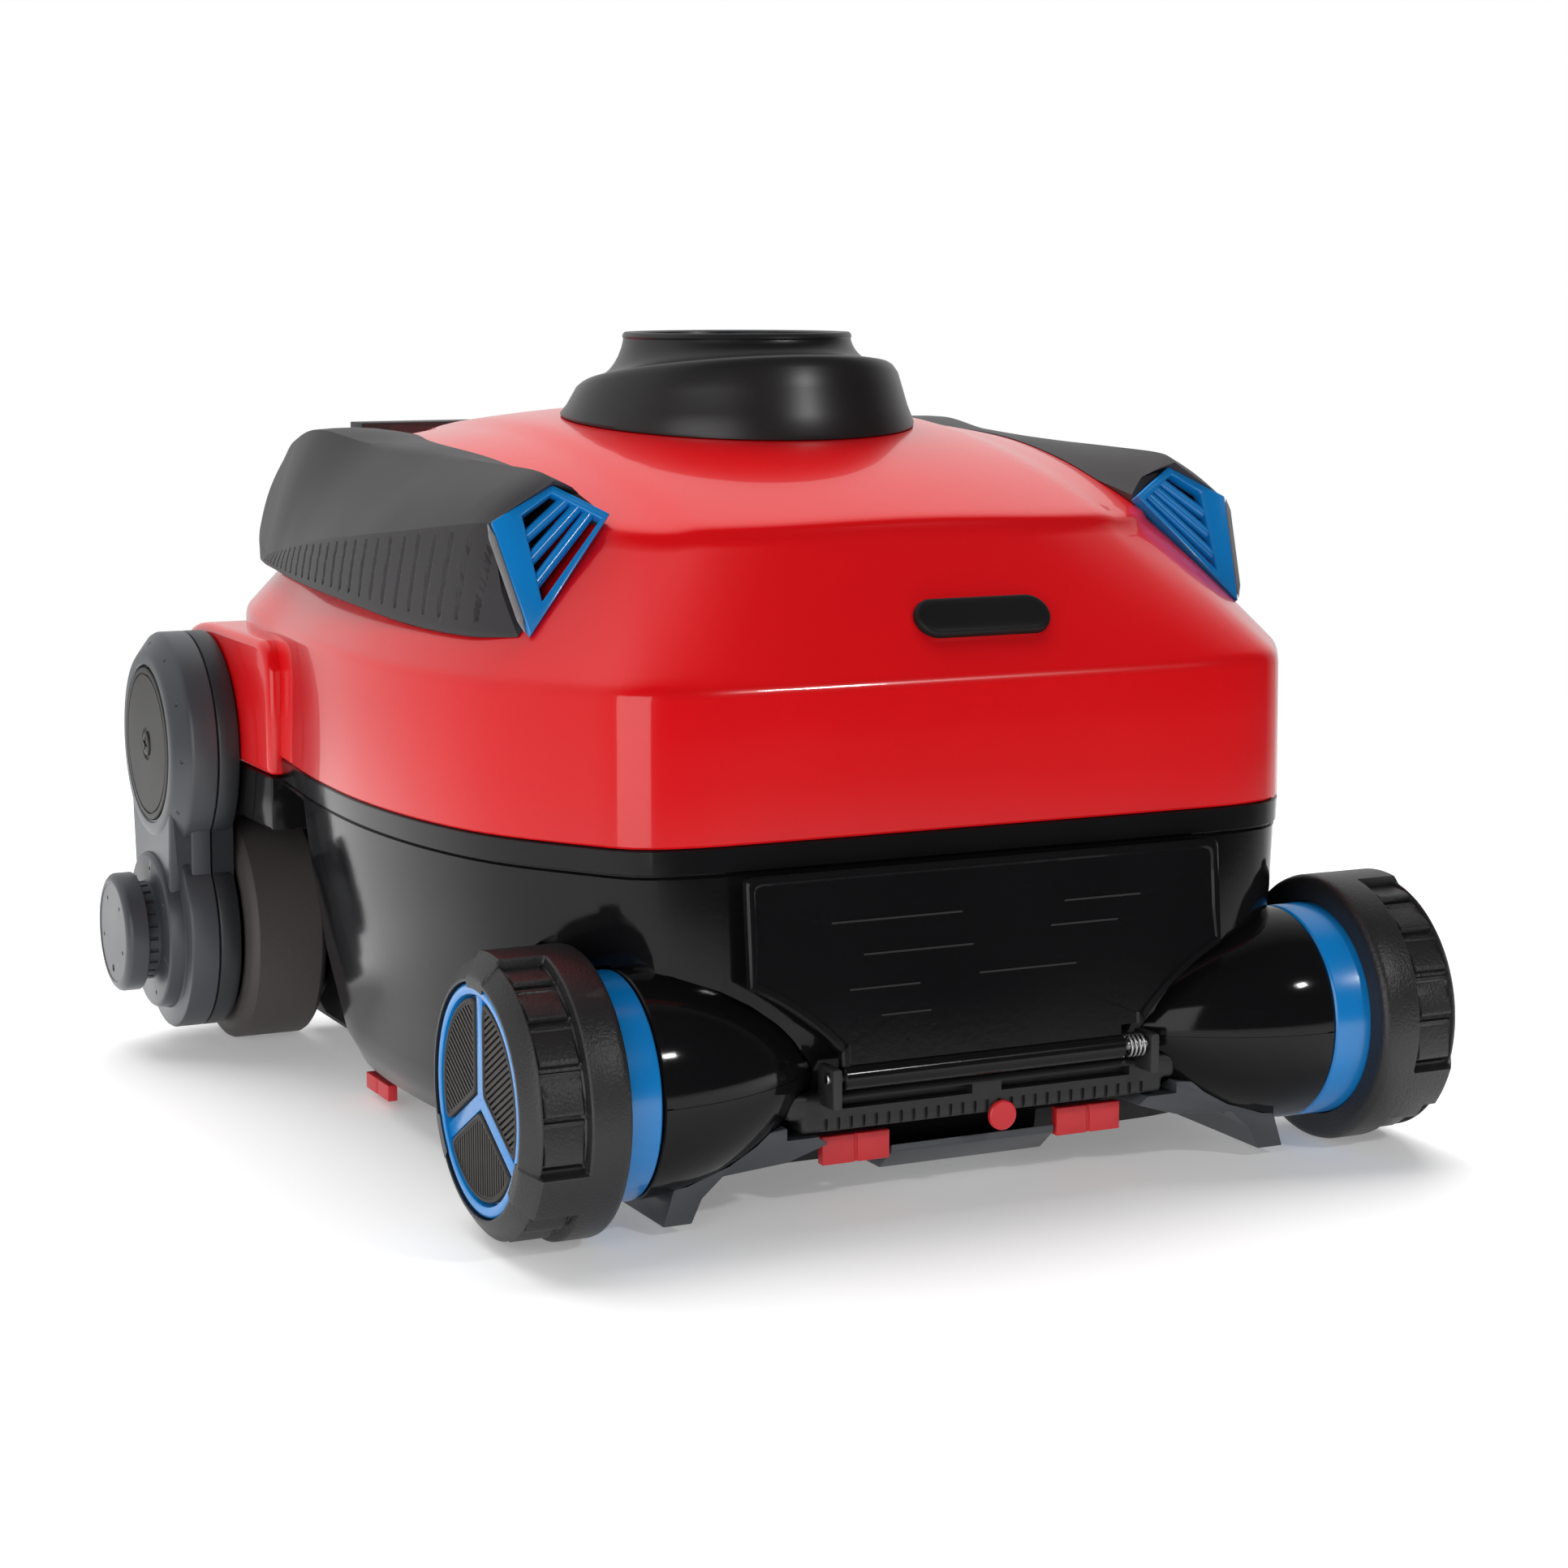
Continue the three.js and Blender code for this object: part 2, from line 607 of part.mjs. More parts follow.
// One of the three pads between the spokes.
function padBlock(degrees) {
  const [near, far] = [9, frontHubRadius - 7.6];
  const half = THREE.MathUtils.degToRad(47);
  const shape = new THREE.Shape();
  shape.moveTo(near * Math.cos(half) * 0.6, -near * Math.sin(half) * 0.6);
  shape.absarc(0, 0, far, -half, half, false);
  shape.lineTo(near * Math.cos(half) * 0.6, near * Math.sin(half) * 0.6);
  const pad = new THREE.ExtrudeGeometry(shape, { depth: 3.6, bevelEnabled: false, curveSegments: 8 });
  const basis = new THREE.Matrix4().makeBasis(alongY, alongZ, alongX);
  pad.rotateZ(THREE.MathUtils.degToRad(degrees)).applyMatrix4(basis);
  return solid(pad.translate(frontOuter - 5 + gap, frontAxle.y, frontAxle.z));
}

// The pads are one moulding, joined by a thin ring round the spokes' ends.
function buildPads() {
  const [x0, far] = [frontOuter - 5 + gap, frontHubRadius - 6.8];
  const spokes = [0, 1, 2].map((k) => spoke(k * 120 + 90, x0 - 2, frontOuter + 2, 3.2 + gap, far - 1.4));
  const near = far - 1.2;
  const ring = turnedX([[x0, near], [x0, far], [x0 + 1, far], [x0 + 1, near], [x0, near]], frontAxle, 18);
  return join(ring, cut(join(...[30, 150, 270].map(padBlock)), ...spokes));
}

function buildFrontTyre() {
  const lugs = 13;
  const lugDepth = 3.4;
  const [x0, x1, R] = [frontInner, frontOuter, frontWheelRadius];
  const bore = frontHubRadius + gap;
  const carcass = turnedX([
    [x0, bore], [x0, R - 2.4], [x0 + 2.4, R], [x1 - 3, R], [x1, R - 4.4], [x1, bore], [x0, bore],
  ], frontAxle, 39);
  const groove = box(x0 + 15, x1 + 5, -3.6, 3.6, R - lugDepth, R + 5);
  const grooves = Array.from({ length: lugs }, (_, k) => groove
    .rotate([360 * k / lugs, 0, 0]).translate([0, frontAxle.y, frontAxle.z]));
  return cut(carcass, ...grooves);
}

addPair('front_hub', buildFrontHub(), blue);
addPair('front_tyre', buildFrontTyre(), tyreBlack);
addPair('hub_pads', buildPads(), darkGrey);
addPair('front_axle', rodX(housingRim - 24, frontOuter - 14, frontAxleRadius, frontAxle, 20), steel);

// ---- Rear wheels ----
function buildRearTyre() {
  const [x0, x1, R] = [tyreInner, tyreOuter, rearWheelRadius];
  const bore = rearHubRadius + gap;
  return turnedX([
    [x0, bore], [x0, R - 4], [x0 + 3, R], [x1 - 3, R], [x1, R - 4], [x1, bore], [x0, bore],
  ], rearAxle, 40);
}

function buildRearHub() {
  const [x0, x1, R] = [tyreInner, tyreOuter, rearHubRadius];
  const bore = rearAxleRadius + gap;
  const [webIn, webOut] = [x0 + 13, x0 + 18];
  return turnedX([
    [x0, R - 4], [x0, R], [x1, R], [x1, R - 4], [webOut, R - 5], [webOut, bore + 8],
    [x1 - 1, bore + 6], [x1 - 1, bore], [x0 + 1, bore], [x0 + 1, bore + 6], [webIn, bore + 8],
    [webIn, R - 5], [x0, R - 4],
  ], rearAxle, 24);
}
addPair('rear_tyre', buildRearTyre(), tyreBrown);
addPair('rear_hub', buildRearHub(), blackGloss);

// ---- Gear trains in the drive arms ----
const gearX0 = armInner + wall + 0.4;
const gearX1 = gearX0 + gearWidth;

// A spur gear with one tooth, or one tooth space, centred on the upward direction.
function gear(teeth, at, bore, spaceUp = false) {
  const pitch = gearModule * teeth / 2;
  const [root, tip] = [pitch - 1.25 * gearModule, pitch + 0.85 * gearModule];
  const step = 2 * Math.PI / teeth;
  const turn = Math.PI / 2 + (spaceUp ? step / 2 : 0);
  const outline = [];
  for (let k = 0; k < teeth; k++) {
    for (const [share, r] of [[-0.33, root], [-0.11, tip], [0.11, tip], [0.33, root]]) {
      const angle = turn + (k + share) * step;
      outline.push([at.y + r * Math.cos(angle), at.z + r * Math.sin(angle)]);
    }
  }
  return cut(plateX(polygon(outline), gearX0, gearX1), rodX(gearX0 - 2, gearX1 + 2, bore, at));
}

const idlerAt = { y: drum.y, z: rearAxle.z + gearReach };
const idlerPin = 3;
const axleEnd = armFace - 3;
const motorOuter = archHalf - wall - 1.5;
const motorInner = motorOuter - 58;
addPair('wheel_gear', gear(driveTeeth, rearAxle, rearAxleRadius + gap), gearWhite);
addPair('idler_gear', gear(idlerTeeth, idlerAt, idlerPin + 0.5), gearWhite);
const motorShaft = rodX(motorOuter + 0.5, gearX1 + 5, gearShaftRadius, drum, 16);
addPair('motor_gear', join(gear(driveTeeth, drum, gearShaftRadius / 2, true), motorShaft), gearWhite);
addPair('rear_axle', rodX(tyreInner, axleEnd, rearAxleRadius, rearAxle, 20), steel);

// ---- Drive arms: an inner cover holding the gears, and an outer cover ----
const splitX = gearX1 + 0.4;                           // where the two covers meet

function buildArmInner() {
  const outline = strapShape(rearAxle, armHubRadius, drum, drumRadius);
  const cavityRadius = gearModule * (driveTeeth / 2 + 0.85) + 2;
  const cavity = strapShape(rearAxle, cavityRadius, drum, cavityRadius);
  const body = cut(plateX(outline, armInner, splitX - gap), plateX(cavity, armInner + wall, splitX + 5));
  const holes = join(
    rodX(armInner - 5, splitX, rearAxleRadius + clearance, rearAxle),
    rodX(armInner - 5, splitX, gearShaftRadius + clearance, drum),
  );
  const idlerBoss = rodX(armInner + 1, gearX0 - 0.2, idlerPin + 2, idlerAt);
  const pin = rodX(armInner + 1, splitX + 4.6, idlerPin, idlerAt, 16);
  return cut(join(body, idlerBoss, pin), holes);
}

function buildArmOuter() {
  const R = drumRadius;
  const shoulder = armFace - 6.7;
  const drumProfile = [[splitX, 0], [splitX, R], [shoulder, R], [armFace, R - 8.8], [armFace, 0]];
  const drumBody = turnedX(drumProfile, drum, 32);
  const hubBody = turnedX([
    [splitX, 0], [splitX, armHubRadius], [shoulder + 1, armHubRadius], [shoulder + 1, 34.5],
    [armFace + 1.3, 33], [armFace + 1.3, 21], [armFace + 7.3, 21], [armFace + 7.3, 0],
  ], rearAxle, 32);
  const base = plateX(strapShape(rearAxle, armHubRadius - 2, drum, R - 3), splitX, shoulder - 2.5);
  const web = plateX(strapShape(rearAxle, 26, drum, 34), splitX, armFace - 0.6);
  const recess = rodX(armFace - 3, armFace + 5, 32.6 + gap, drum, 32);
  const bores = join(
    rodX(splitX - 5, axleEnd + 0.6, rearAxleRadius + clearance, rearAxle),
    rodX(splitX - 5, gearX1 + 6, gearShaftRadius + clearance, drum),
    rodX(splitX - 5, splitX + 5, idlerPin + gap, idlerAt, 16),
  );
  return cut(join(drumBody, hubBody, base, web), recess, bores);
}
addPair('arm_inner_cover', buildArmInner(), slateDark);
addPair('arm_outer_cover', buildArmOuter(), slate);

function buildBadge() {
  const disc = rodX(armFace - 3 + gap, armFace + 0.2, 32.6, drum, 32);
  return join(disc, rodX(armFace, armFace + 0.8, 5.1, drum, 16));
}
addPair('drum_disc', buildBadge(), darkGrey);

function buildAxleCap() {
  const [x0, x1, R] = [armFace + 7.3 + gap, width / 2, 25.5];
  return turnedX([[x0, 0], [x0, R], [x1 - 2, R], [x1, R - 2.5], [x1, 0]], rearAxle, 32);
}
addPair('axle_cap', buildAxleCap(), slate);

// ---- Vent grilles at the front ends of the grips ----
const ventCorner = {
  outer: new THREE.Vector3(bodyHalf - 27.5, front + 80.8, waistHeight + 54),
  top: new THREE.Vector3(bodyHalf - 51.6, front + 78.9, waistHeight + 68.7),
  inner: new THREE.Vector3(bodyHalf - 71.2, front + 75.5, waistHeight + 55.9),
  foot: new THREE.Vector3(bodyHalf - 33.9, front + 60, waistHeight + 14.8),
};
const ventThickness = 5;
const ventU = new THREE.Vector3().subVectors(ventCorner.outer, ventCorner.inner).normalize();
const ventDown = new THREE.Vector3().subVectors(ventCorner.foot, ventCorner.inner);
const ventOut = new THREE.Vector3().crossVectors(ventDown, ventU).normalize();
const ventV = new THREE.Vector3().crossVectors(ventOut, ventU);

// A point of the vent's plane: s runs from its inner edge to its outer, t from its top to its foot.
function ventPoint(s, t) {
  const high = ventCorner.inner.clone().lerp(ventCorner.top, s);
  const low = ventCorner.foot.clone().lerp(ventCorner.outer, s);
  const p = high.lerp(low, t).sub(ventCorner.inner);
  return [p.dot(ventU), p.dot(ventV)];
}

// A prism through the vent's plane, from back behind it to ahead in front of it.
function ventPrism(outline, back, ahead) {
  const start = ventCorner.inner.clone().addScaledVector(ventOut, -back);
  return plate(polygon(outline), back + ahead, start, ventU, ventV, ventOut);
}

function ventSlab(s0, s1, t0, t1, back, ahead) {
  const outline = [[s0, t0], [s1, t0], [s1, t1], [s0, t1]].map(([s, t]) => ventPoint(s, t));
  return ventPrism(outline, back, ahead);
}

function buildVent() {
  const frame = ventSlab(0, 1, 0, 1, ventThickness, 0);
  const openings = [0, 1, 2, 3].map((k) => ventSlab(0.06 + k * 0.23, 0.25 + k * 0.23, 0.12, 0.88, 20, 20));
  return cut(frame, ...openings, shellCutter);
}
addPair('vent_grille', buildVent(), blue);

// ---- Side grips: raised rails along the shoulders of the shell ----
function gripRing(points) {
  return points.map(([dx, y, z]) => new THREE.Vector3(bodyHalf - dx, y, z));
}

function buildGrip() {
  const corner = (p) => [bodyHalf - p.x, p.y, p.z];
  const { inner, top, outer, foot } = ventCorner;
  const w = waistHeight;
  const body = loft([
    [corner(inner), corner(top), corner(outer), corner(foot), [70, front + 70, w + 16]],
    [[69, front + 136, w + 61], [50, front + 136, w + 72], [14, front + 136, w + 47],
      [12, front + 131, w + 14], [67, front + 136, w + 11]],
    [[69, front + 211, w + 69], [45, front + 211, w + 76], [8, front + 216, w + 38],
      [7, front + 211, w + 19], [64, front + 211, w + 11]],
    [[72, rear - 116, w + 73], [40, rear - 116, w + 78], [13, rear - 108, w + 28],
      [13, rear - 111, w + 22], [64, rear - 116, w + 16]],
    [[76, rear - 56, w + 69], [44, rear - 56, w + 70], [22, rear - 60, w + 26],
      [21, rear - 62, w + 20], [70, rear - 56, w + 14]],
    [[74, rear - 24, w + 60], [48, rear - 24, w + 61], [36, rear - 27, w + 30],
      [36, rear - 29, w + 20], [70, rear - 24, w + 10]],
  ].map(gripRing));
  const reach = 120;
  const square = [[-reach, -reach], [reach, -reach], [reach, reach], [-reach, reach]];
  const ahead = ventPrism(square, ventThickness + gap, reach);
  const pocket = ventSlab(0.06, 0.94, 0.12, 0.88, ventThickness + 12, 0);
  return cut(body, ahead, pocket, shellCutter);
}
const grip = buildGrip();
addPair('side_grip', grip, darkGrey);

// ---- Carrying handle across the rear, between the grips ----
function buildHandle() {
  const reach = bodyHalf - 78;
  const [y0, y1] = [rear - 38, rear - 22];
  const [z0, z1] = [waistHeight + 63, waistHeight + 76];
  const bar = box(-reach, reach, y0, y1, z0, z1);
  const leg = box(reach - 14, reach, y0, y1, waistHeight + 16, z1);
  return cut(join(bar, leg, mirrored(leg)), shellCutter, grip, mirrored(grip));
}
add('rear_handle', buildHandle(), darkGrey);

// ---- Outlet collar, with its shoulder tilted up towards the front ----
function buildCollar() {
  const ring = (r, z) => atHeight(circleRing(r), z);
  const shoulder = (p) => height - 17.1 - 0.141 * (p.y - collarY);
  const neck = (p) => (shoulder(p) + height) / 2 - 1;
  const low = ridgeHeight + 18;
  const body = loftLoop([
    ring(collarSkirtRadius + 1, low), ring(collarShoulderRadius + 1, (p) => shoulder(p) - 2.5),
    ring(collarShoulderRadius - 1.5, shoulder), ring(collarRadius + 3.5, neck),
    ring(collarRadius, height - 3),
    ring(collarRadius, height), ring(collarBore, height), ring(collarBore, low - 12),
    ring(collarRadius, low - 12), ring(collarRadius, low),
  ]);
  const aboveShell = loft(shellRings(gap, 50, seamHeight - 12));
  const throat = rodZ(low - 30, height + 5, collarRadius + 1, 0, collarY, ringCount);
  return cut(body, cut(aboveShell, throat));
}
add('outlet_collar', buildCollar(), blackGloss);

// ---- Outlet guard, impeller and its motor ----
const guardTop = height - 12;

function buildGuard() {
  const low = guardTop - 4;
  const hoop = (r0, r1) => turnedZ(
    [[r0, low], [r1, low], [r1, guardTop], [r0, guardTop], [r0, low]], 0, collarY, 24);
  const vane = box(spinnerRadius + 2, collarBore - 2, collarY - 1, collarY + 1, low, guardTop);
  const vanes = Array.from({ length: 6 }, (_, k) => vane
    .translate([0, -collarY, 0]).rotate([0, 0, 30 + 60 * k]).translate([0, collarY, 0]));
  const inner = hoop(spinnerRadius + 1.2, spinnerRadius + 3.6);
  const outer = hoop(collarBore - 3, collarBore - gap - 0.4);
  return join(inner, outer, ...vanes);
}
add('outlet_guard', buildGuard(), blue);

const bladeTop = guardTop - 8;
const motorUnitTop = 205;
const pumpRadius = 32;
const shaftRadius = 4;

function buildImpeller() {
  const low = bladeTop - 22;
  const dome = [0.35, 0.7, 0.92].map((t) => [spinnerRadius * Math.sqrt(1 - t * t), height - 11 + 9.5 * t]);
  const hub = turnedZ([
    [0, motorUnitTop + 1], [shaftRadius, motorUnitTop + 1], [shaftRadius, low], [spinnerRadius, low],
    [spinnerRadius, height - 11], ...dome, [0, height - 1.5],
  ], 0, collarY, 24);
  const blade = box(spinnerRadius - 4, collarBore - 3, -1.2, 1.2, -9, 9).rotate([42, 0, 0]);
  const blades = [0, 1, 2, 3].map((k) => blade
    .rotate([0, 0, 45 + 90 * k]).translate([0, collarY, bladeTop - 11]));
  return join(hub, ...blades);
}
add('impeller', buildImpeller(), blue);

function buildPumpMotor() {
  const [low, R] = [tubBottom + 22, pumpRadius];
  return turnedZ([
    [0, low], [R - 3, low], [R, low + 3], [R, motorUnitTop - 12], [R - 10, motorUnitTop - 4],
    [10, motorUnitTop], [0, motorUnitTop],
  ], 0, collarY, 20);
}
add('pump_motor', buildPumpMotor(), caseGrey);

// ---- Other inner pieces ----
add('battery_pack', box(-70, 70, 66, 138, tubBottom + 8, tubBottom + 72), caseGrey);
add('control_box', box(-52, 52, 70, 136, tubBottom + 78, tubBottom + 104), caseGrey);
addPair('drive_motor', rodX(motorInner, motorOuter, 19, drum, 24), caseGrey);

const basketGap = 34.1;                                // between the basket and the pump motor
function buildFilterBasket() {
  const [x, z0, z1] = [98, tubBottom + 18, tubBottom + 106];
  const [y0, y1] = [front + 66, collarY - pumpRadius - basketGap];
  const hollow = box(-x + 2.4, x - 2.4, y0 + 2.4, y1 - 2.4, z0 + 2.4, z1 + 5);
  return cut(box(-x, x, y0, y1, z0, z1), hollow);
}
add('filter_basket', buildFilterBasket(), meshWhite);

add('charging_socket', portRod(socketRadius, -18, -1), caseGrey);

// ---- Rubber cover of the charging port ----
function buildPortCover() {
  const start = portAt.clone().addScaledVector(slopeOut, -4);
  const slab = plate(slotShape(55, 16), 8, start, alongX, slopeUp, slopeOut);
  return cut(slab, shellCutter);
}
add('port_cover', buildPortCover(), rubberBlack);

// ---- Latches that hold the bottom lid ----
const scoopHalf = 33.8;                                // half width of the centre scoop
function buildFrontLatch() {
  const middle = scoopHalf + 0.9 + latchWidth / 2;
  const [y0, z1] = [front + 1.6, sill.low - latchSwing];
  const z0 = z1 - latchHeight;
  const tab = box(middle - latchWidth / 2, middle + latchWidth / 2, y0, y0 + latchThickness, z0, z1);
  const crease = box(middle - 0.8, middle + 0.8, y0 - 1, y0 + 0.8, z0 - 1, z1 + 1);
  return cut(tab, crease);
}
addPair('front_latch', buildFrontLatch(), latchRed);

const sideLatch = { x: lidHalf + 14, y: archFront - 22 };
function buildSideLatch() {
  const { x, y } = sideLatch;
  const top = tubBottom - latchSwing;
  const tab = box(x, x + latchThickness, y - latchWidth / 2, y + latchWidth / 2, top - sideLatchHeight, top);
  const crease = box(x + latchThickness - 0.8, x + latchThickness + 1, y - 0.8, y + 0.8, 0, top + 1);
  return cut(tab, crease);
}
addPair('side_latch', buildSideLatch(), latchRed);

// ---- Scoops that sweep dirt towards the intakes ----
function buildCentreScoop() {
  const shape = polygon([
    [front + 2, lidBottom + 11], [front + 11, lidTop + 2], [front + 14, lidTop], [front + 55, lidTop],
    [front + 55, lidBottom], [front + 12, lidBottom], [front + 2, lidBottom + 8.2],
  ]);
  return plateX(shape, -scoopHalf, scoopHalf);
}
add('centre_scoop', buildCentreScoop(), slateDark);

function buildSideScoop() {
  const x = housingRim - 136;                          // moves with the housing it hangs under
  const shape = polygon([
    [x + 64, 26], [x + 74, 34], [x + 111, 30.5], [x + 124, 16], [x + 128, 3.5], [x + 117, 3.5],
    [x + 113, 12], [x + 105, 19], [x + 80, 21],
  ]);
  const body = plateY(shape, front - 8, front + 50);
  const tubSpace = loft(tubRings(gap, seamHeight));
  const sillSpace = box(-sill.half, sill.half, -260, front + 6, sill.low - 1, 60);
  const cutters = [tubSpace, housingCutter(gap), buildLid(), sillSpace];
  return cut(body, ...cutters);
}
addPair('side_scoop', buildSideScoop(), slateDark);

export default cleaner;
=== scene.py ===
import math

import bpy
import bmesh
from mathutils import Matrix, Vector


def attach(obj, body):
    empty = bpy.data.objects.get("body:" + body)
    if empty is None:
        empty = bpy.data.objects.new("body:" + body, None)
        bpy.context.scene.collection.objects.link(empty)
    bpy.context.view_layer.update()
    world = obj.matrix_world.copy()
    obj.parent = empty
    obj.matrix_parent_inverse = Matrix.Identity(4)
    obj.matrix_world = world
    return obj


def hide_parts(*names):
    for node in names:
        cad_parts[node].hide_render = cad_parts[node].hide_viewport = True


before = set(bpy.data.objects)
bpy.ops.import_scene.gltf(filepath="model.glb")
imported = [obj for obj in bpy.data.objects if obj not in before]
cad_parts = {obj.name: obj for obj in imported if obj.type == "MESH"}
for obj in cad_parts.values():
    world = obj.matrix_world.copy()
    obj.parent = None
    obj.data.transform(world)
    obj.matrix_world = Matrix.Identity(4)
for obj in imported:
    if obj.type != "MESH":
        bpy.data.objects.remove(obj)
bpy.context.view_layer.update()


# ---- Lower tub ----
# The tub is a gloss black injection moulding: bowed flanks, a broad front, two wheel arches
# at the rear and a rolled lip under the red shell. Everything else is screwed to it.
HALF, FRONT, REAR = 0.182, -0.1861, 0.2259
SEAM = 0.134
OUTLET_Y = 0.020
AROUND = 192


def curve_through(points, steps=400):
    """A closed centripetal curve through the points of an outline."""
    n = len(points)
    out = []
    for k in range(steps):
        place = k / steps * n
        i, t = int(place), place - int(place)
        p = [points[(i + j - 1) % n] for j in range(4)]
        gaps = [max(1e-5, math.dist(p[j], p[j + 1]) ** 0.5) for j in range(3)]
        xy = []
        for a in (0, 1):
            x0, x1, x2, x3 = (q[a] for q in p)
            d0, d1, d2 = gaps
            t1 = ((x1 - x0) / d0 - (x2 - x0) / (d0 + d1) + (x2 - x1) / d1) * d1
            t2 = ((x2 - x1) / d1 - (x3 - x1) / (d1 + d2) + (x3 - x2) / d2) * d1
            xy.append(x1 + t1 * t + (-3 * x1 + 3 * x2 - 2 * t1 - t2) * t * t
                      + (2 * x1 - 2 * x2 + t1 + t2) * t ** 3)
        out.append(xy)
    return out


def outline(right_side, count=AROUND):
    """Points on a left-right even outline, at even angles round the outlet's axis."""
    left = [(-x, y) for x, y in reversed(right_side[1:-1])]
    line = curve_through(list(right_side) + left)
    ring = []
    for i in range(count):
        angle = 2 * math.pi * i / count
        dx, dy = math.sin(angle), -math.cos(angle)
        for (px, py), (qx, qy) in zip(line, line[1:] + line[:1]):
            ex, ey = qx - px, qy - py
            across = dx * ey - dy * ex
            if abs(across) < 1e-12:
                continue
            along = (px * ey - (py - OUTLET_Y) * ex) / across
            part = (px * dy - (py - OUTLET_Y) * dx) / across
            if along > 0 and -1e-9 <= part <= 1 + 1e-9:
                ring.append(Vector((dx * along, OUTLET_Y + dy * along, 0)))
                break
    return ring


def body_outline(half, y0, y1):
    return outline([
        (0, y0), (half - .107, y0), (half - .070, y0 + .0015), (half - .051, y0 + .008),
        (half - .037, y0 + .026), (half - .017, y0 + .060), (half - .006, y0 + .098),
        (half, y0 + .150), (half - .001, y0 + .210), (half - .008, y1 - .130),
        (half - .014, y1 - .070), (half - .032, y1 - .025), (half - .072, y1 - .004),
        (half - .112, y1 - .0004), (0, y1),
    ])


def drawn_in(ring, distance):
    """The ring moved inwards along its own normals."""
    n = len(ring)
    out = []
    for i, p in enumerate(ring):
        run = (ring[(i + 1) % n] - ring[i - 1]).normalized()
        out.append(Vector((p.x - run.y * distance, p.y + run.x * distance, p.z)))
    return out


def at_height(ring, z):
    return [Vector((p.x, p.y, z(p) if callable(z) else z)) for p in ring]


def centre_of(ring):
    middle = sum(ring, Vector()) / len(ring)
    return [middle.copy() for _ in ring]


def choose(piece):
    bpy.ops.object.select_all(action="DESELECT")
    piece.hide_set(False)
    piece.select_set(True)
    bpy.context.view_layer.objects.active = piece


def close_up(piece, outward=True):
    """Merges what meets, closes the poles and turns every face outwards."""
    choose(piece)
    bpy.ops.object.mode_set(mode="EDIT")
    bpy.ops.mesh.select_all(action="SELECT")
    bpy.ops.mesh.remove_doubles(threshold=1e-5)
    bpy.ops.mesh.dissolve_degenerate(threshold=1e-6)
    if outward:
        bpy.ops.mesh.normals_make_consistent(inside=False)
    bpy.ops.object.mode_set(mode="OBJECT")
    return piece


def skin(name, rings):
    """A sheet bent round a list of rings: the rows of a grid are laid on them in turn."""
    rows, columns = len(rings), len(rings[0]) + 1
    bpy.ops.object.select_all(action="DESELECT")
    bpy.ops.mesh.primitive_grid_add(x_subdivisions=columns - 1, y_subdivisions=rows - 1, size=1)
    piece = bpy.context.object
    piece.name = piece.data.name = name
    flat = [c for ring in rings for p in list(ring) + [ring[0]] for c in p]
    piece.data.vertices.foreach_set("co", flat)
    return close_up(piece)


def capped(name, rings):
    """The same sheet closed by a fan at each end."""
    return skin(name, [centre_of(rings[0])] + rings + [centre_of(rings[-1])])


def modified(piece, kind, **settings):
    choose(piece)
    step = piece.modifiers.new(kind.lower(), kind)
    for key, value in settings.items():
        setattr(step, key, value)
    bpy.ops.object.modifier_apply(modifier=step.name)
    return piece


def combined(piece, *tools, how="DIFFERENCE"):
    for tool in tools:
        modified(piece, "BOOLEAN", object=tool, operation=how, solver="EXACT")
        bpy.data.objects.remove(tool)
    return piece


def eased(piece, width, angle=30, segments=2):
    """Rounds the edges sharper than an angle, as a mould leaves them."""
    modified(piece, "BEVEL", width=width, segments=segments, limit_method="ANGLE",
             angle_limit=math.radians(angle), use_clamp_overlap=True, harden_normals=False)
    return close_up(piece)


def smoothed(piece, angle=32):
    choose(piece)
    bpy.ops.object.shade_smooth_by_angle(angle=math.radians(angle))
    return piece


def block(name, low, high):
    bpy.ops.object.select_all(action="DESELECT")
    middle = [(a + b) / 2 for a, b in zip(low, high)]
    bpy.ops.mesh.primitive_cube_add(size=1, location=middle, scale=[b - a for a, b in zip(low, high)])
    bpy.ops.object.transform_apply(location=True, rotation=True, scale=True)
    piece = bpy.context.object
    piece.name = piece.data.name = name
    return piece


def turned(name, profile, y, z_or_x, axis="X", segments=96, ring=False):
    """A round part drawn out of a disc, step by step: (place along its axis, radius).
    A ring starts from a bare circle instead, and its last step meets its first."""
    (start, radius), *steps = profile
    along_x = axis == "X"
    place = (start, y, z_or_x) if along_x else (z_or_x, y, start)
    bpy.ops.object.select_all(action="DESELECT")
    bpy.ops.mesh.primitive_circle_add(
        vertices=segments, radius=radius, fill_type="NOTHING" if ring else "NGON",
        location=place, rotation=(0, math.pi / 2 if along_x else 0, 0))
    bpy.ops.object.transform_apply(location=True, rotation=True)
    piece = bpy.context.object
    piece.name = piece.data.name = name
    bpy.ops.object.mode_set(mode="EDIT")
    bpy.ops.mesh.select_all(action="SELECT")
    for step, wide in steps:
        move = step - start
        shift = (move, 0, 0) if along_x else (0, 0, move)
        bpy.ops.mesh.extrude_region_move(TRANSFORM_OT_translate={"value": shift})
        middle = (step, y, z_or_x) if along_x else (z_or_x, y, step)
        k = max(wide, 1e-7) / radius
        size = (1, k, k) if along_x else (k, k, 1)
        bpy.ops.transform.resize(value=size, center_override=middle)
        start, radius = step, max(wide, 1e-7)
    bpy.ops.object.mode_set(mode="OBJECT")
    return close_up(piece)


def mirror_image(piece, name):
    """The left-hand twin of a right-hand piece."""
    twin = piece.copy()
    twin.data = piece.data.copy()
    twin.name = twin.data.name = name
    bpy.context.scene.collection.objects.link(twin)
    twin.data.transform(Matrix.Diagonal((-1, 1, 1, 1)))
    twin.data.flip_normals()
    return twin


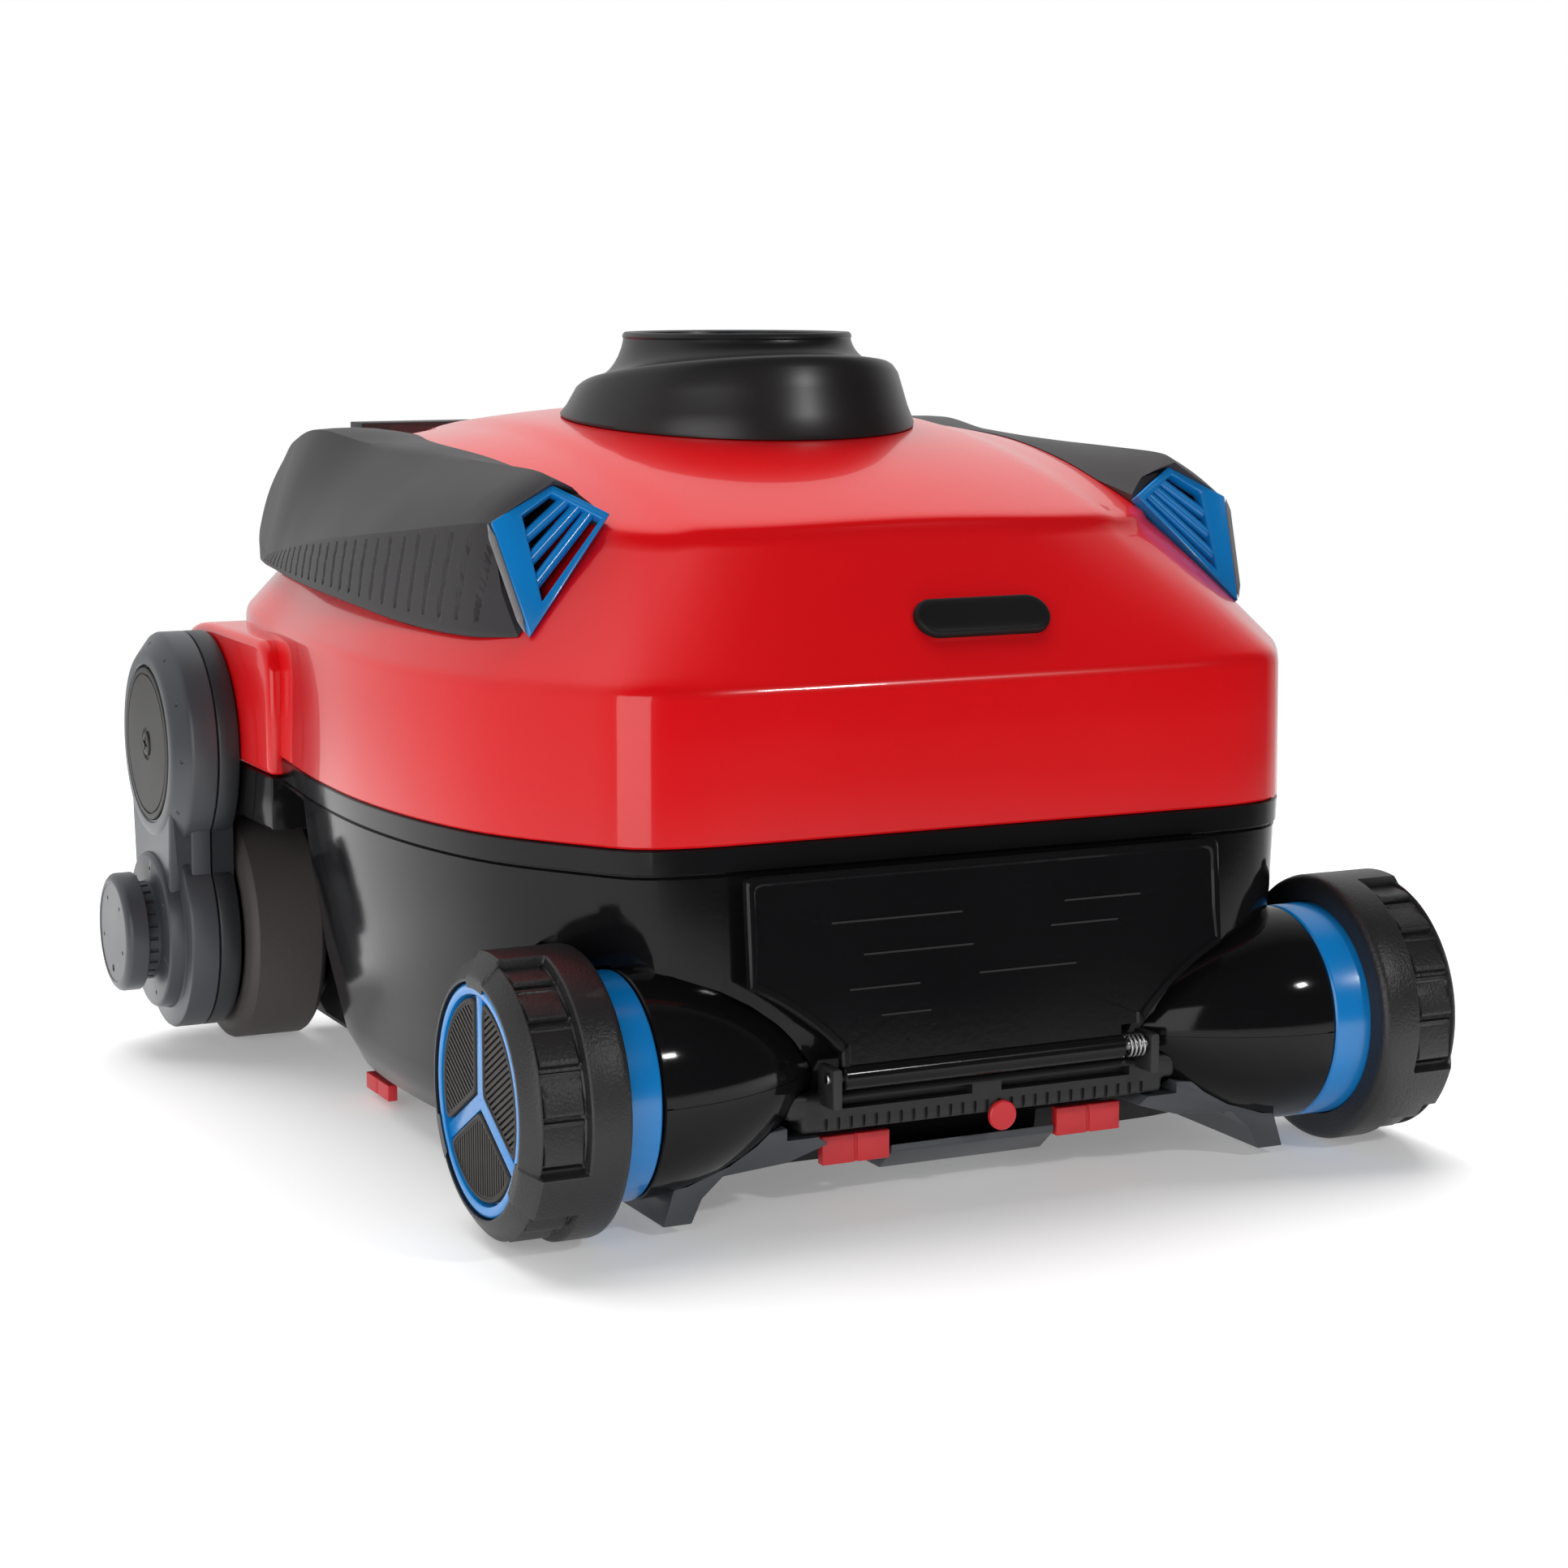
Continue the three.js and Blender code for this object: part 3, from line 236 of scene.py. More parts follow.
def set_round(piece, place, degrees, axis="X"):
    """Turns a piece about the origin, then moves it to its place."""
    piece.data.transform(Matrix.Translation(place) @ Matrix.Rotation(math.radians(degrees), 4, axis))
    return piece


def fitted(piece, material, slot, body, *stands_for):
    piece.data.materials.clear()
    piece.data.materials.append(material)
    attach(piece, body)
    if stands_for:
        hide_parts(*stands_for)
    return piece


def fitted_pair(piece, material, slot, body, *stands_for):
    """A right-hand piece and its twin, whose names say left where the others say right."""
    def other(name):
        return name.replace("right", "left")
    fitted(piece, material, slot, body, *stands_for)
    twin = mirror_image(piece, other(piece.name))
    fitted(twin, material, slot, other(body), *(other(node) for node in stands_for))


def new_group(name, inputs, outputs):
    """An empty shader group with its named inputs and outputs."""
    group = bpy.data.node_groups.new(name, "ShaderNodeTree")
    for label, kind, value in inputs:
        socket = group.interface.new_socket(label, in_out="INPUT", socket_type=kind)
        socket.default_value = value
    for label, kind in outputs:
        group.interface.new_socket(label, in_out="OUTPUT", socket_type=kind)
    return group, group.nodes.new("NodeGroupInput"), group.nodes.new("NodeGroupOutput")


def node_in(tree, kind, feeds=None, operation=None, **values):
    """A new shader node with its values set and its inputs fed from other nodes' outputs."""
    node = tree.nodes.new("ShaderNode" + kind)
    if operation:
        node.operation = operation
    for label, value in values.items():
        node.inputs[label.replace("_", " ")].default_value = value
    for key, socket in (feeds or {}).items():
        tree.links.new(socket, node.inputs[key])
    return node


def sum_in(tree, operation, *terms):
    """A maths node on sockets and plain numbers."""
    node = tree.nodes.new("ShaderNodeMath")
    node.operation = operation
    for socket, term in zip(node.inputs, terms):
        if isinstance(term, float):
            socket.default_value = term
        else:
            tree.links.new(term, socket)
    return node.outputs[0]


def moulded_surface():
    """Fine relief, handling marks and drift of tone that every moulding here shares."""
    g, get, put = new_group("Moulded surface", [
        ("Colour", "NodeSocketColor", (0.5, 0.5, 0.5, 1)),
        ("Rubbed colour", "NodeSocketColor", (0.6, 0.6, 0.6, 1)),
        ("Grain size", "NodeSocketFloat", 900.0), ("Drift", "NodeSocketFloat", 0.1),
        ("Marks", "NodeSocketFloat", 0.15), ("Roughness", "NodeSocketFloat", 0.3),
        ("Roughness drift", "NodeSocketFloat", 0.08),
    ], [("Colour", "NodeSocketColor"), ("Roughness", "NodeSocketFloat"), ("Grain", "NodeSocketFloat")])
    given = get.outputs
    where = node_in(g, "TexCoord").outputs["Object"]
    grain = node_in(g, "TexNoise", {"Vector": where, "Scale": given["Grain size"]}, Detail=3.0, Roughness=0.6)
    drift = node_in(g, "TexNoise", {"Vector": where}, Scale=14.0, Detail=2.0)
    swing = node_in(g, "MapRange", {"Value": drift.outputs["Fac"]},
                    From_Min=0.3, From_Max=0.7, To_Min=-1.0, To_Max=1.0).outputs["Result"]
    bright = sum_in(g, "ADD", sum_in(g, "MULTIPLY", swing, given["Drift"]), 1.0)
    tone = node_in(g, "HueSaturation", {"Color": given["Colour"], "Value": bright})
    # Marks gather on raised edges and in a few short scuffs.
    shape = node_in(g, "NewGeometry")
    edge = node_in(g, "MapRange", {"Value": shape.outputs["Pointiness"]}, From_Min=0.52, From_Max=0.62)
    stretch = node_in(g, "Mapping", {"Vector": where}, Scale=(60, 90, 260))
    scuff = node_in(g, "TexNoise", {"Vector": stretch.outputs["Vector"]}, Scale=1.0, Detail=4.0)
    few = node_in(g, "MapRange", {"Value": scuff.outputs["Fac"]}, From_Min=0.66, From_Max=0.8, To_Max=0.5)
    both = sum_in(g, "MAXIMUM", edge.outputs["Result"], few.outputs["Result"])
    share = sum_in(g, "MULTIPLY", both, given["Marks"])
    mixed = g.nodes.new("ShaderNodeMix")
    mixed.data_type = "RGBA"
    for place, socket in (("Factor", share), (6, tone.outputs["Color"]), (7, given["Rubbed colour"])):
        g.links.new(socket, mixed.inputs[place])
    rough = sum_in(g, "MULTIPLY_ADD", swing, given["Roughness drift"], given["Roughness"])
    worn = sum_in(g, "MULTIPLY_ADD", share, 0.35, rough)
    for label, socket in (("Colour", mixed.outputs[2]), ("Roughness", worn), ("Grain", grain.outputs["Fac"])):
        g.links.new(socket, put.inputs[label])
    return g


SURFACE = moulded_surface()


def moulding(name, colour, rubbed, roughness, grain=900.0, relief=0.05, depth=0.0002,
             drift=0.06, marks=0.12, rough_drift=0.04, coat=0.0, coat_rough=0.05,
             metal=0.0, shine=0.5):
    """A moulded or machined finish: the shared surface feeding one shader."""
    material = bpy.data.materials.new(name)
    material.use_nodes = True
    tree = material.node_tree
    shader = tree.nodes["Principled BSDF"]
    surface = tree.nodes.new("ShaderNodeGroup")
    surface.node_tree = SURFACE
    for label, value in (("Colour", (*colour, 1)), ("Rubbed colour", (*rubbed, 1)), ("Grain size", grain),
                         ("Drift", drift), ("Marks", marks), ("Roughness", roughness),
                         ("Roughness drift", rough_drift)):
        surface.inputs[label].default_value = value
    bump = node_in(tree, "Bump", {"Height": surface.outputs["Grain"]}, Strength=relief, Distance=depth)
    for label, socket in (("Normal", bump.outputs["Normal"]), ("Base Color", surface.outputs["Colour"]),
                          ("Roughness", surface.outputs["Roughness"])):
        tree.links.new(socket, shader.inputs[label])
    for label, value in (("Metallic", metal), ("Coat Weight", coat), ("Coat Roughness", coat_rough),
                         ("Specular IOR Level", shine)):
        shader.inputs[label].default_value = value
    return material


GLOSS_BLACK = moulding("Gloss black plastic", (.0060, .0058, .0065), (.04, .04, .042), 0.10,
                       grain=260, relief=0.04, depth=.0004, marks=0.08, rough_drift=0.03, shine=0.22)

FRONT_AXLE_Y, FRONT_AXLE_Z = -0.1749, 0.0511
REAR_AXLE_Y, REAR_AXLE_Z = 0.174, 0.050
DRUM_Z, IDLER_Z = 0.131, 0.0905                 # the motor and idler gears in the drive arms
HOUSING_RIM, HOUSING_LENGTH = 0.136, 0.078
ARCH_HALF, ARCH_FRONT, ARCH_TOP = 0.1416, 0.052, 0.122


def between(a, b, t):
    return [p.lerp(q, t) for p, q in zip(a, b)]


def blended(table, z):
    """A smooth value read from a table of (height, values)."""
    for (z0, v0), (z1, v1) in zip(table, table[1:]):
        if z <= z1:
            t = (z - z0) / (z1 - z0)
            return [a + (b - a) * t for a, b in zip(v0, v1)]
    return table[-1][1]


TUB_TABLE = [(.014, (.024, .015, .024)), (.026, (.017, .007, .017)), (.060, (.009, -.004, .007)),
             (.100, (.003, -.002, .002)), (.134, (0, 0, 0))]


def tub_ring(z, inward):
    narrower, back, forward = blended(TUB_TABLE, z)
    ring = body_outline(HALF - narrower, FRONT + back, REAR - forward)
    return at_height(drawn_in(ring, inward), z)


def housing_radius(x, rim=0.0404):
    along = max(0.0, (x - (HOUSING_RIM - HOUSING_LENGTH)) / HOUSING_LENGTH)
    return rim * math.sin(math.pi / 2 * along ** 0.8)


def housing_cutter(grow):
    steps = [0.002, 0.04, 0.13, 0.22, 0.3, 0.44, 0.58, 0.78, 1]
    profile = []
    for t in steps:
        x = HOUSING_RIM - HOUSING_LENGTH + t * HOUSING_LENGTH
        profile.append((x - grow, housing_radius(x) + grow))
    profile.append((HOUSING_RIM + .004, profile[-1][1]))
    return turned("housing space", profile, FRONT_AXLE_Y, FRONT_AXLE_Z, segments=64)


def wheel_spaces(grow):
    """What the wheels and their housings take from the tub, on both sides."""
    tools = [
        block("arch", (ARCH_HALF - grow, ARCH_FRONT - grow, -.02), (.222, .266, ARCH_TOP + grow)),
        turned("tyre space", [(.1488 - grow, .0561 + grow), (.222, .0561 + grow)],
               FRONT_AXLE_Y, FRONT_AXLE_Z, segments=64),
        turned("hub space", [(HOUSING_RIM - grow, .0418 + grow), (.1520, .0418 + grow)],
               FRONT_AXLE_Y, FRONT_AXLE_Z, segments=64),
        housing_cutter(.0003 if grow == 0 else grow),
    ]
    return tools + [mirror_image(t, t.name + " left") for t in tools]


LIP = .1245                                   # under side of the rolled lip


def build_tub():
    heights = [.014, .020, .026, .034, .042, .050, .060, .070, .080, .090, .100, .112, LIP - .0012]
    outer = [tub_ring(z, .0008) for z in heights]
    outer += [tub_ring(LIP - .0004, .0018), tub_ring(LIP, .0018), tub_ring(LIP + .0006, .0),
              tub_ring(.1332, 0), tub_ring(.13385, .0008)]
    tub = capped("lower_tub_moulding", outer)
    combined(tub, *wheel_spaces(0))
    inner = [tub_ring(z, .003) for z in (.0165, .026, .060, .100, .134)]
    top = at_height(inner[-1], .140)
    hollow = skin("hollow", [centre_of(inner[0])] + inner + [top, centre_of(top)])
    combined(hollow, *wheel_spaces(.003))
    notch = block("arm block space", (.1477, .0877, .1260), (.2, .24, .145))
    others = [hollow, notch, mirror_image(notch, "arm block space left"),
              block("floor hole", (-.112, -.110, 0), (.112, .160, .025)),
              block("door hole", (-.058, FRONT - .02, .066), (.058, FRONT + .02, .116))]
    combined(tub, *others)
    return smoothed(eased(tub, .0006, angle=40, segments=2), 30)


fitted(build_tub(), GLOSS_BLACK, "body_black", "root", "lower_tub")

# ---- Upper shell ----
# The red cover is a high-gloss moulding: an upright band, a sloped shoulder all round and a
# crowned dome under the outlet. The two blocks on its flanks carry the drive arms.
WAIST, RIDGE = 0.189, 0.241
DOME_FRONT, DOME_REAR, DOME_HALF = FRONT + .046, REAR - .076, HALF - .056
SHELL_RED = moulding("Gloss red plastic", (.72, .0050, .0085), (.76, .03, .035), 0.22,
                     grain=70, relief=0.02, depth=.0006, drift=0.02, marks=0.03,
                     rough_drift=0.02, coat=0.55, coat_rough=0.02, shine=0.25)


def dome_height(p):
    run = (p.y - (DOME_FRONT + .2)) / .2
    margin = min(1.0, max(0.0, (abs(p.x) - .083) / .012))
    fold = .0016 * (1 - margin * margin * (3 - 2 * margin))
    return RIDGE + .035 * (1 - run * run) - .010 * (p.x / .113) ** 2 + fold - .0008


def ridge_outline():
    h = DOME_HALF
    return outline([
        (0, DOME_FRONT), (h - .066, DOME_FRONT + .004), (h - .026, DOME_FRONT + .018),
        (h - .008, DOME_FRONT + .038), (h, DOME_FRONT + .100), (h, DOME_REAR - .110),
        (h - .006, DOME_REAR - .040), (h - .036, DOME_REAR - .006), (0, DOME_REAR),
    ])


def circle(radius):
    turn = [2 * math.pi * i / AROUND for i in range(AROUND)]
    return [Vector((radius * math.sin(a), OUTLET_Y - radius * math.cos(a), 0)) for a in turn]


DECK = body_outline(HALF, FRONT, REAR)
RIDGE_RING = ridge_outline()


def shell_rings(sunk):
    """The shell's surface, from the seam to the outlet, sunk inwards by a wall's thickness."""
    deck = drawn_in(DECK, sunk)
    ridge = drawn_in(RIDGE_RING, sunk)
    seat, hole = circle(.0715), circle(.047)

    def crown(drop):
        return lambda p: dome_height(p) - drop - sunk
    shoulder = drawn_in(deck, .0036)
    rings = [at_height(drawn_in(deck, .0006), SEAM + .00015), at_height(deck, SEAM + .0009)]
    rings += [at_height(drawn_in(deck, .0008 * t), SEAM + (WAIST - .004 - SEAM) * t) for t in (.33, .66, 1)]
    rings += [at_height(drawn_in(deck, d), WAIST + z - sunk / 2)
              for d, z in ((.0011, -.0022), (.0017, -.0006), (.0026, .0007), (.0037, .0018))]
    low = at_height(shoulder, WAIST + .0018 - sunk / 2)
    high = at_height(between(shoulder, ridge, .965), crown(.0036))
    rings += [between(low, high, t) for t in (.06, .25, .5, .75, .94, 1)]
    rings += [at_height(between(shoulder, ridge, .985), crown(.0019)),
              at_height(ridge, crown(.0008)), at_height(between(ridge, seat, .012), crown(.0003))]
    rings += [at_height(between(ridge, seat, t), crown(0))
              for t in (.03, .08, .15, .22, .3, .38, .46, .54, .62, .7, .78, .86, .93, 1)]
    rings += [at_height(hole, crown(0))]
    return rings


def arm_block():
    """The block behind a drive arm: a rounded box; the moulding seam down its face is a bead of its own,
    added later.
    """
    y0, y1, top, low = .088, .2175, .1812, .1264
    corner, points = .016, []
    for k in range(9):
        a = math.pi / 2 * k / 8
        points.append((y0 + corner - corner * math.cos(a), top - corner + corner * math.sin(a)))
    for k in range(9):
        t = k / 8
        points.append((.174 + .0435 * (1 - (1 - t) ** 2) * .98, top - .022 * t * t))
    points += [(y1, low), (y0, low)]
    bpy.ops.object.select_all(action="DESELECT")
    bpy.ops.mesh.primitive_circle_add(vertices=len(points), radius=.05, fill_type="NGON")
    piece = bpy.context.object
    for v, (y, z) in zip(piece.data.vertices, points):
        v.co = (.1483, y, z)
    bpy.ops.object.mode_set(mode="EDIT")
    bpy.ops.mesh.select_all(action="SELECT")
    bpy.ops.mesh.extrude_region_move(TRANSFORM_OT_translate={"value": (.0314, 0, 0)})
    bpy.ops.object.mode_set(mode="OBJECT")
    close_up(piece)
    return eased(piece, .0035, angle=40, segments=4)


def build_shell():
    outer, inner = shell_rings(0), shell_rings(.003)
    shell = skin("upper_shell_moulding", outer + inner[::-1] + [outer[0]])
    boss = arm_block()
    combined(shell, boss, mirror_image(boss, "arm block left"), how="UNION")
    shaft = turned("shaft hole", [(.143, .0052), (.185, .0052)], REAR_AXLE_Y, DRUM_Z, segments=32)
    combined(shell, shaft, mirror_image(shaft, "shaft hole left"))
    return smoothed(shell, 38)


fitted(build_shell(), SHELL_RED, "shell_red", "root", "upper_shell")

# A thin bead down the middle of each arm block, where the two halves of its mould met.
for side, name in ((1, "arm_block_seam_right"), (-1, "arm_block_seam_left")):
    x0, x1 = sorted((side * .1640, side * .1654))
    bead = block(name, (x0, .0866, .1275), (x1, .0884, .1640))
    eased(bead, .0006, segments=3)
    fitted(smoothed(bead), SHELL_RED, "shell_red", "root")

# ---- Outlet collar ----
# A satin black moulding that clamps round the outlet: a conical skirt on the dome, a soft
# shoulder tilted up towards the front, a drawn-in neck and a thin rim.
TOP = 0.3067
SATIN_BLACK = moulding("Satin black plastic", (.016, .016, .017), (.07, .07, .072), 0.34,
                       grain=1300, relief=0.10, depth=.00015, marks=0.15, rough_drift=0.04)


def shoulder_height(p):
    return TOP - .0171 - .141 * (p.y - OUTLET_Y)


def build_collar():
    def ring(radius, z):
        return at_height(circle(radius), z)

    def skirt(t, lift=0.0):
        return lambda p: (dome_height(p) + .0004) * (1 - t) + shoulder_height(p) * t + lift
    rings = [ring(.0718, skirt(0)), ring(.0720, skirt(.05))]
    rings += [ring(.0716 - .0072 * t, skirt(t)) for t in (.3, .6, .85)]
    rings += [ring(.0642, skirt(.93)), ring(.0634, skirt(.975)), ring(.0621, skirt(1, .0003)),
              ring(.0600, skirt(1, .0008))]
    neck = [(.0572, .07), (.0545, .15), (.0520, .27), (.0500, .42), (.0483, .60), (.0470, .80), (.0464, .95)]
    for radius, part in neck:
        rings.append(ring(radius, lambda p, f=part: shoulder_height(p) * (1 - f) + (TOP - .0030) * f))
    rings += [ring(.0462, TOP - .0026), ring(.0466, TOP - .0018), ring(.0462, TOP - .0006), ring(.0455, TOP),
              ring(.0424, TOP), ring(.0414, TOP - .0006), ring(.0410, TOP - .0020), ring(.0410, TOP - .030),
              ring(.0410, .2470), ring(.0445, .2470), ring(.0445, lambda p: dome_height(p) - .002)]
    rings.append(ring(.0600, lambda p: dome_height(p) + .0004))
    collar = skin("outlet_collar_moulding", rings + [rings[0]])
    hole = turned("screw hole", [(-.059, .0020), (-.040, .0020), (-.038, .0032)], 0, .2855, segments=32)
    combined(collar, set_round(hole, (0, OUTLET_Y, 0), 88.5, "Z"))
    return smoothed(collar, 32)


fitted(build_collar(), SATIN_BLACK, "body_black", "root", "outlet_collar")

# ---- Outlet guard and impeller ----
# A blue ring with six vanes keeps fingers off the impeller, whose rounded spinner shows at
# the rim. Both are glossy blue mouldings.
BLUE = moulding("Gloss blue plastic", (.003, .215, .60), (.05, .36, .78), 0.24,
                grain=500, relief=0.04, depth=.0003, drift=0.05, marks=0.12, rough_drift=0.04, coat=0.3,
                coat_rough=0.08)
GUARD_TOP = TOP - .012


def build_guard():
    low = GUARD_TOP - .004
    guard = turned("outlet_guard_moulding", [
        (low, .0187), (low, .0211), (GUARD_TOP, .0211), (GUARD_TOP, .0187), (low, .0187)],
        OUTLET_Y, 0, axis="Z", ring=True)
    rim = turned("guard rim", [(low, .0380), (low, .0405), (TOP - .0048, .0405), (TOP - .0044, .0402),
                                 (TOP - .0048, .0398), (GUARD_TOP, .0394), (GUARD_TOP, .0380), (low, .0380)],
                 OUTLET_Y, 0, axis="Z", ring=True)
    vanes = []
    for k in range(6):
        vane = block("guard vane", (.0195, -.0009, low), (.0392, .0009, GUARD_TOP))
        vanes.append(set_round(vane, (0, OUTLET_Y, 0), 30 + 60 * k, "Z"))
    combined(guard, rim, *vanes, how="UNION")
    return smoothed(eased(guard, .0004, angle=40))


fitted(build_guard(), BLUE, "hub_blue", "root", "outlet_guard")


def build_impeller():
    cap = TOP - .011
    radius, rise = .0175, .0095
    dome = [(cap + rise * math.sin(math.radians(a)), radius * math.cos(math.radians(a)))
            for a in range(10, 90, 10)]
    low = GUARD_TOP - .030
    hub = turned("impeller_moulding", [
        (.206, .004), (low, .004), (low, .0165), (low + .001, radius), (cap, radius), *dome, (cap + rise, 0)],
        OUTLET_Y, 0, axis="Z", segments=64)
    for k in range(4):
        blade = block("impeller blade", (.0130, -.0009, -.0085), (.0378, .0009, .0085))
        choose(blade)
        bpy.ops.object.mode_set(mode="EDIT")
        bpy.ops.mesh.select_all(action="SELECT")
        bpy.ops.mesh.subdivide(number_cuts=5)
        bpy.ops.object.mode_set(mode="OBJECT")
        for v in blade.data.vertices:                     # more pitch near the hub than at the tip
            pitch = math.radians(56 - 22 * (v.co.x - .013) / .025)
            v.co = Matrix.Rotation(pitch, 3, "X") @ v.co
        set_round(blade, (0, OUTLET_Y, GUARD_TOP - .019), 45 + 90 * k, "Z")
        combined(hub, blade, how="UNION")
    return smoothed(eased(hub, .0003, angle=45))


fitted(build_impeller(), BLUE, "hub_blue", "impeller", "impeller")

# ---- Vent grilles ----
# Blue grilles close the front ends of the grips: a four-sided frame, broad on its outer side,
# with three rounded slats set back inside it.
VENT = {
    "outer": Vector((HALF - .0275, FRONT + .0808, WAIST + .054)),
    "top": Vector((HALF - .0516, FRONT + .0789, WAIST + .0687)),
    "inner": Vector((HALF - .0712, FRONT + .0755, WAIST + .0559)),
    "foot": Vector((HALF - .0339, FRONT + .060, WAIST + .0148)),
}
VENT_U = (VENT["outer"] - VENT["inner"]).normalized()
VENT_OUT = (VENT["foot"] - VENT["inner"]).cross(VENT_U).normalized()


def vent_point(s, t, ahead=0.0):
    """s runs from the vent's inner edge to its outer, t from its top to its foot."""
    high = VENT["inner"].lerp(VENT["top"], s)
    low = VENT["foot"].lerp(VENT["outer"], s)
    p = high.lerp(low, t)
    return p - VENT_OUT * (p - VENT["inner"]).dot(VENT_OUT) + VENT_OUT * ahead


def loop_at(corners, ahead):
    return [vent_point(s, t, ahead) for s, t in corners]


def build_vent():
    edge = [(0, 0), (1, 0), (1, 1), (0, 1)]
    hole = [(.075, .06), (.89, .11), (.89, .58), (.100, .80)]
    deep = [(.085, .07), (.875, .12), (.875, .57), (.110, .79)]
    frame_rings = [loop_at(edge, -.0048), loop_at(edge, 0), loop_at(hole, 0), loop_at(deep, -.0048)]
    vent = skin("vent_grille_moulding_right", frame_rings + [frame_rings[0]])
    eased(vent, .0007, angle=25, segments=3)
    for s in (.275, .48, .685):
        high, low = vent_point(s, .03, -.0034), vent_point(s + .01, .86 - .2 * s, -.0034)
        run = (low - high).normalized()
        side = run.cross(VENT_OUT).normalized()
        bpy.ops.object.select_all(action="DESELECT")
        bpy.ops.mesh.primitive_cylinder_add(vertices=20, radius=.0023, depth=(low - high).length)
        slat = bpy.context.object
        turn = Matrix((side, VENT_OUT, run)).transposed().to_4x4()
        turn.translation = (high + low) / 2
        slat.data.transform(turn @ Matrix.Diagonal((1, 1.15, 1, 1)))
        slat.matrix_world = Matrix.Identity(4)
        combined(vent, slat, how="UNION")
    return smoothed(close_up(vent), 35)


fitted_pair(build_vent(), BLUE, "hub_blue", "root", "vent_grille_right")

# ---- Side grips ----
# Long dark mouldings clipped along the shoulders of the shell. Their upper face is smooth,
# and below a soft crease it carries slanting grooves that fingers can hold.
GRIP_GREY = moulding("Matte dark grey plastic", (.030, .0275, .030), (.12, .115, .12), 0.46,
                     grain=1500, relief=0.22, depth=.00022, drift=0.08, marks=0.35,
                     rough_drift=0.05, shine=0.38)
GRIP_STATIONS = 520


def grip_corners():
    """Lines along the grip, front to rear: on the dome, its ridge, its crease, its foot, its under side."""
    def behind(key):
        return VENT[key] + VENT_OUT * -.0012

    inner = [behind("inner"), (.112, -.100, .2455), (.1125, -.062, .2515), (.1125, -.009, .2585),
             (.1125, .052, .2630), (.110, .110, .2640), (.108, .160, .2600), (.110, .199, .2510)]
    ridge = [behind("top"), (.1325, -.092, .2600), (.1345, -.050, .2607), (.1360, 0, .2612),
             (.1415, .065, .2625), (.1460, .118, .2660), (.1420, .165, .2590), (.136, .199, .2500)]
    crease = [behind("outer"), (.1590, -.092, .2415), (.1675, -.050, .2365), (.1722, 0, .2310),
              (.1712, .065, .2235), (.1650, .118, .2165), (.1575, .160, .2125), (.148, .199, .2190)]
    foot = [behind("foot"), (.1615, -.098, .2020), (.1700, -.055, .2030), (.1748, 0, .2065),
            (.1735, .065, .2085), (.1680, .118, .2100), (.1595, .160, .2090), (.148, .199, .2090)]
    under = [(.112, -.1161, .205), (.114, -.085, .203), (.115, -.050, .2), (.117, 0, .2),
             (.118, .065, .2), (.118, .118, .2), (.115, .160, .2), (.112, .199, .2)]
    return [[Vector(p) for p in line] for line in (inner, ridge, crease, foot, under)]


def along(line, t):
    """A smooth place on an open line of points, t from 0 to 1."""
    n = len(line) - 1
    place = min(t * n, n - 1e-6)
    i, f = int(place), place - int(place)
    p0, p1, p2, p3 = line[max(i - 1, 0)], line[i], line[i + 1], line[min(i + 2, n)]
    return .5 * (2 * p1 + (p2 - p0) * f + (2 * p0 - 5 * p1 + 4 * p2 - p3) * f * f
                 + (3 * p1 - p0 - 3 * p2 + p3) * f ** 3)


def groove_depth(p, low, high):
    """How deep a grip groove is at a point between the foot and the crease."""
    share = (p.z - low) / max(1e-6, high - low)
    line = p.y + .16 * (p.z - low)
    forward = (.150 - line) / .262                        # 0 at the rear, 1 at the vent
    if not 0.02 < forward < .985:
        return 0.0
    phase = 27 * forward ** .86
    near = abs(phase - round(phase)) / 27 * .262 / .86     # distance from a groove's middle
    across = max(0.0, 1 - (near / .0010) ** 2)
    ends = min(1, max(0, (share - .13) / .05)) * min(1, max(0, (.93 - share) / .05))
    return .0021 * min(1, 1.8 * across) * ends


def build_grip():
    lines = grip_corners()
    rings = []
    for k in range(GRIP_STATIONS + 1):
        t = k / GRIP_STATIONS
        inner, ridge, crease, foot, under = (along(line, t) for line in lines)
        ring = [inner.lerp(ridge, f) + Vector((0, 0, .0016 * math.sin(math.pi * f)))
                for f in (0, .2, .4, .6, .8)]
        out = Vector((.75, 0, .66))
        ring += [ridge.lerp(crease, f) + out * (.0018 * math.sin(math.pi * f) * min(1, 6 * t))
                 for f in (0, .05, .12, .22, .34, .46, .58, .70, .80, .88, .94, .98)]
        for f in (i / 16 for i in range(17)):
            p = crease.lerp(foot, f) + Vector((.0004 * math.sin(math.pi * f), 0, 0))
            ring.append(p - Vector((groove_depth(p, foot.z, crease.z), 0, 0)))
        ring += [foot.lerp(under, f) + Vector((0, 0, -.001)) for f in (.03, .3, .7)]
        ring += [under]
        rings.append(ring)
    grip = capped("side_grip_moulding_right", rings)
    # The pocket behind the vent, and a sunk slot across the rear end.
    pocket_edge = [(.05, .08), (.95, .08), (.92, .92), (.05, .93)]
    pocket = skin("vent pocket", [[vent_point(.5, .5, -.020)] * 4, loop_at(pocket_edge, -.020),
                                  loop_at(pocket_edge, .004), [vent_point(.5, .5, .004)] * 4])
    seat_edge = [(-.10, -.16), (1.0, 0), (1.0, 1.0), (-.10, 1.16)]
    seat = skin("vent seat", [[vent_point(.5, .5, -.0051)] * 4, loop_at(seat_edge, -.0051),
                              loop_at(seat_edge, .02), [vent_point(.5, .5, .02)] * 4])
    combined(grip, pocket, seat)
    return smoothed(grip, 34)


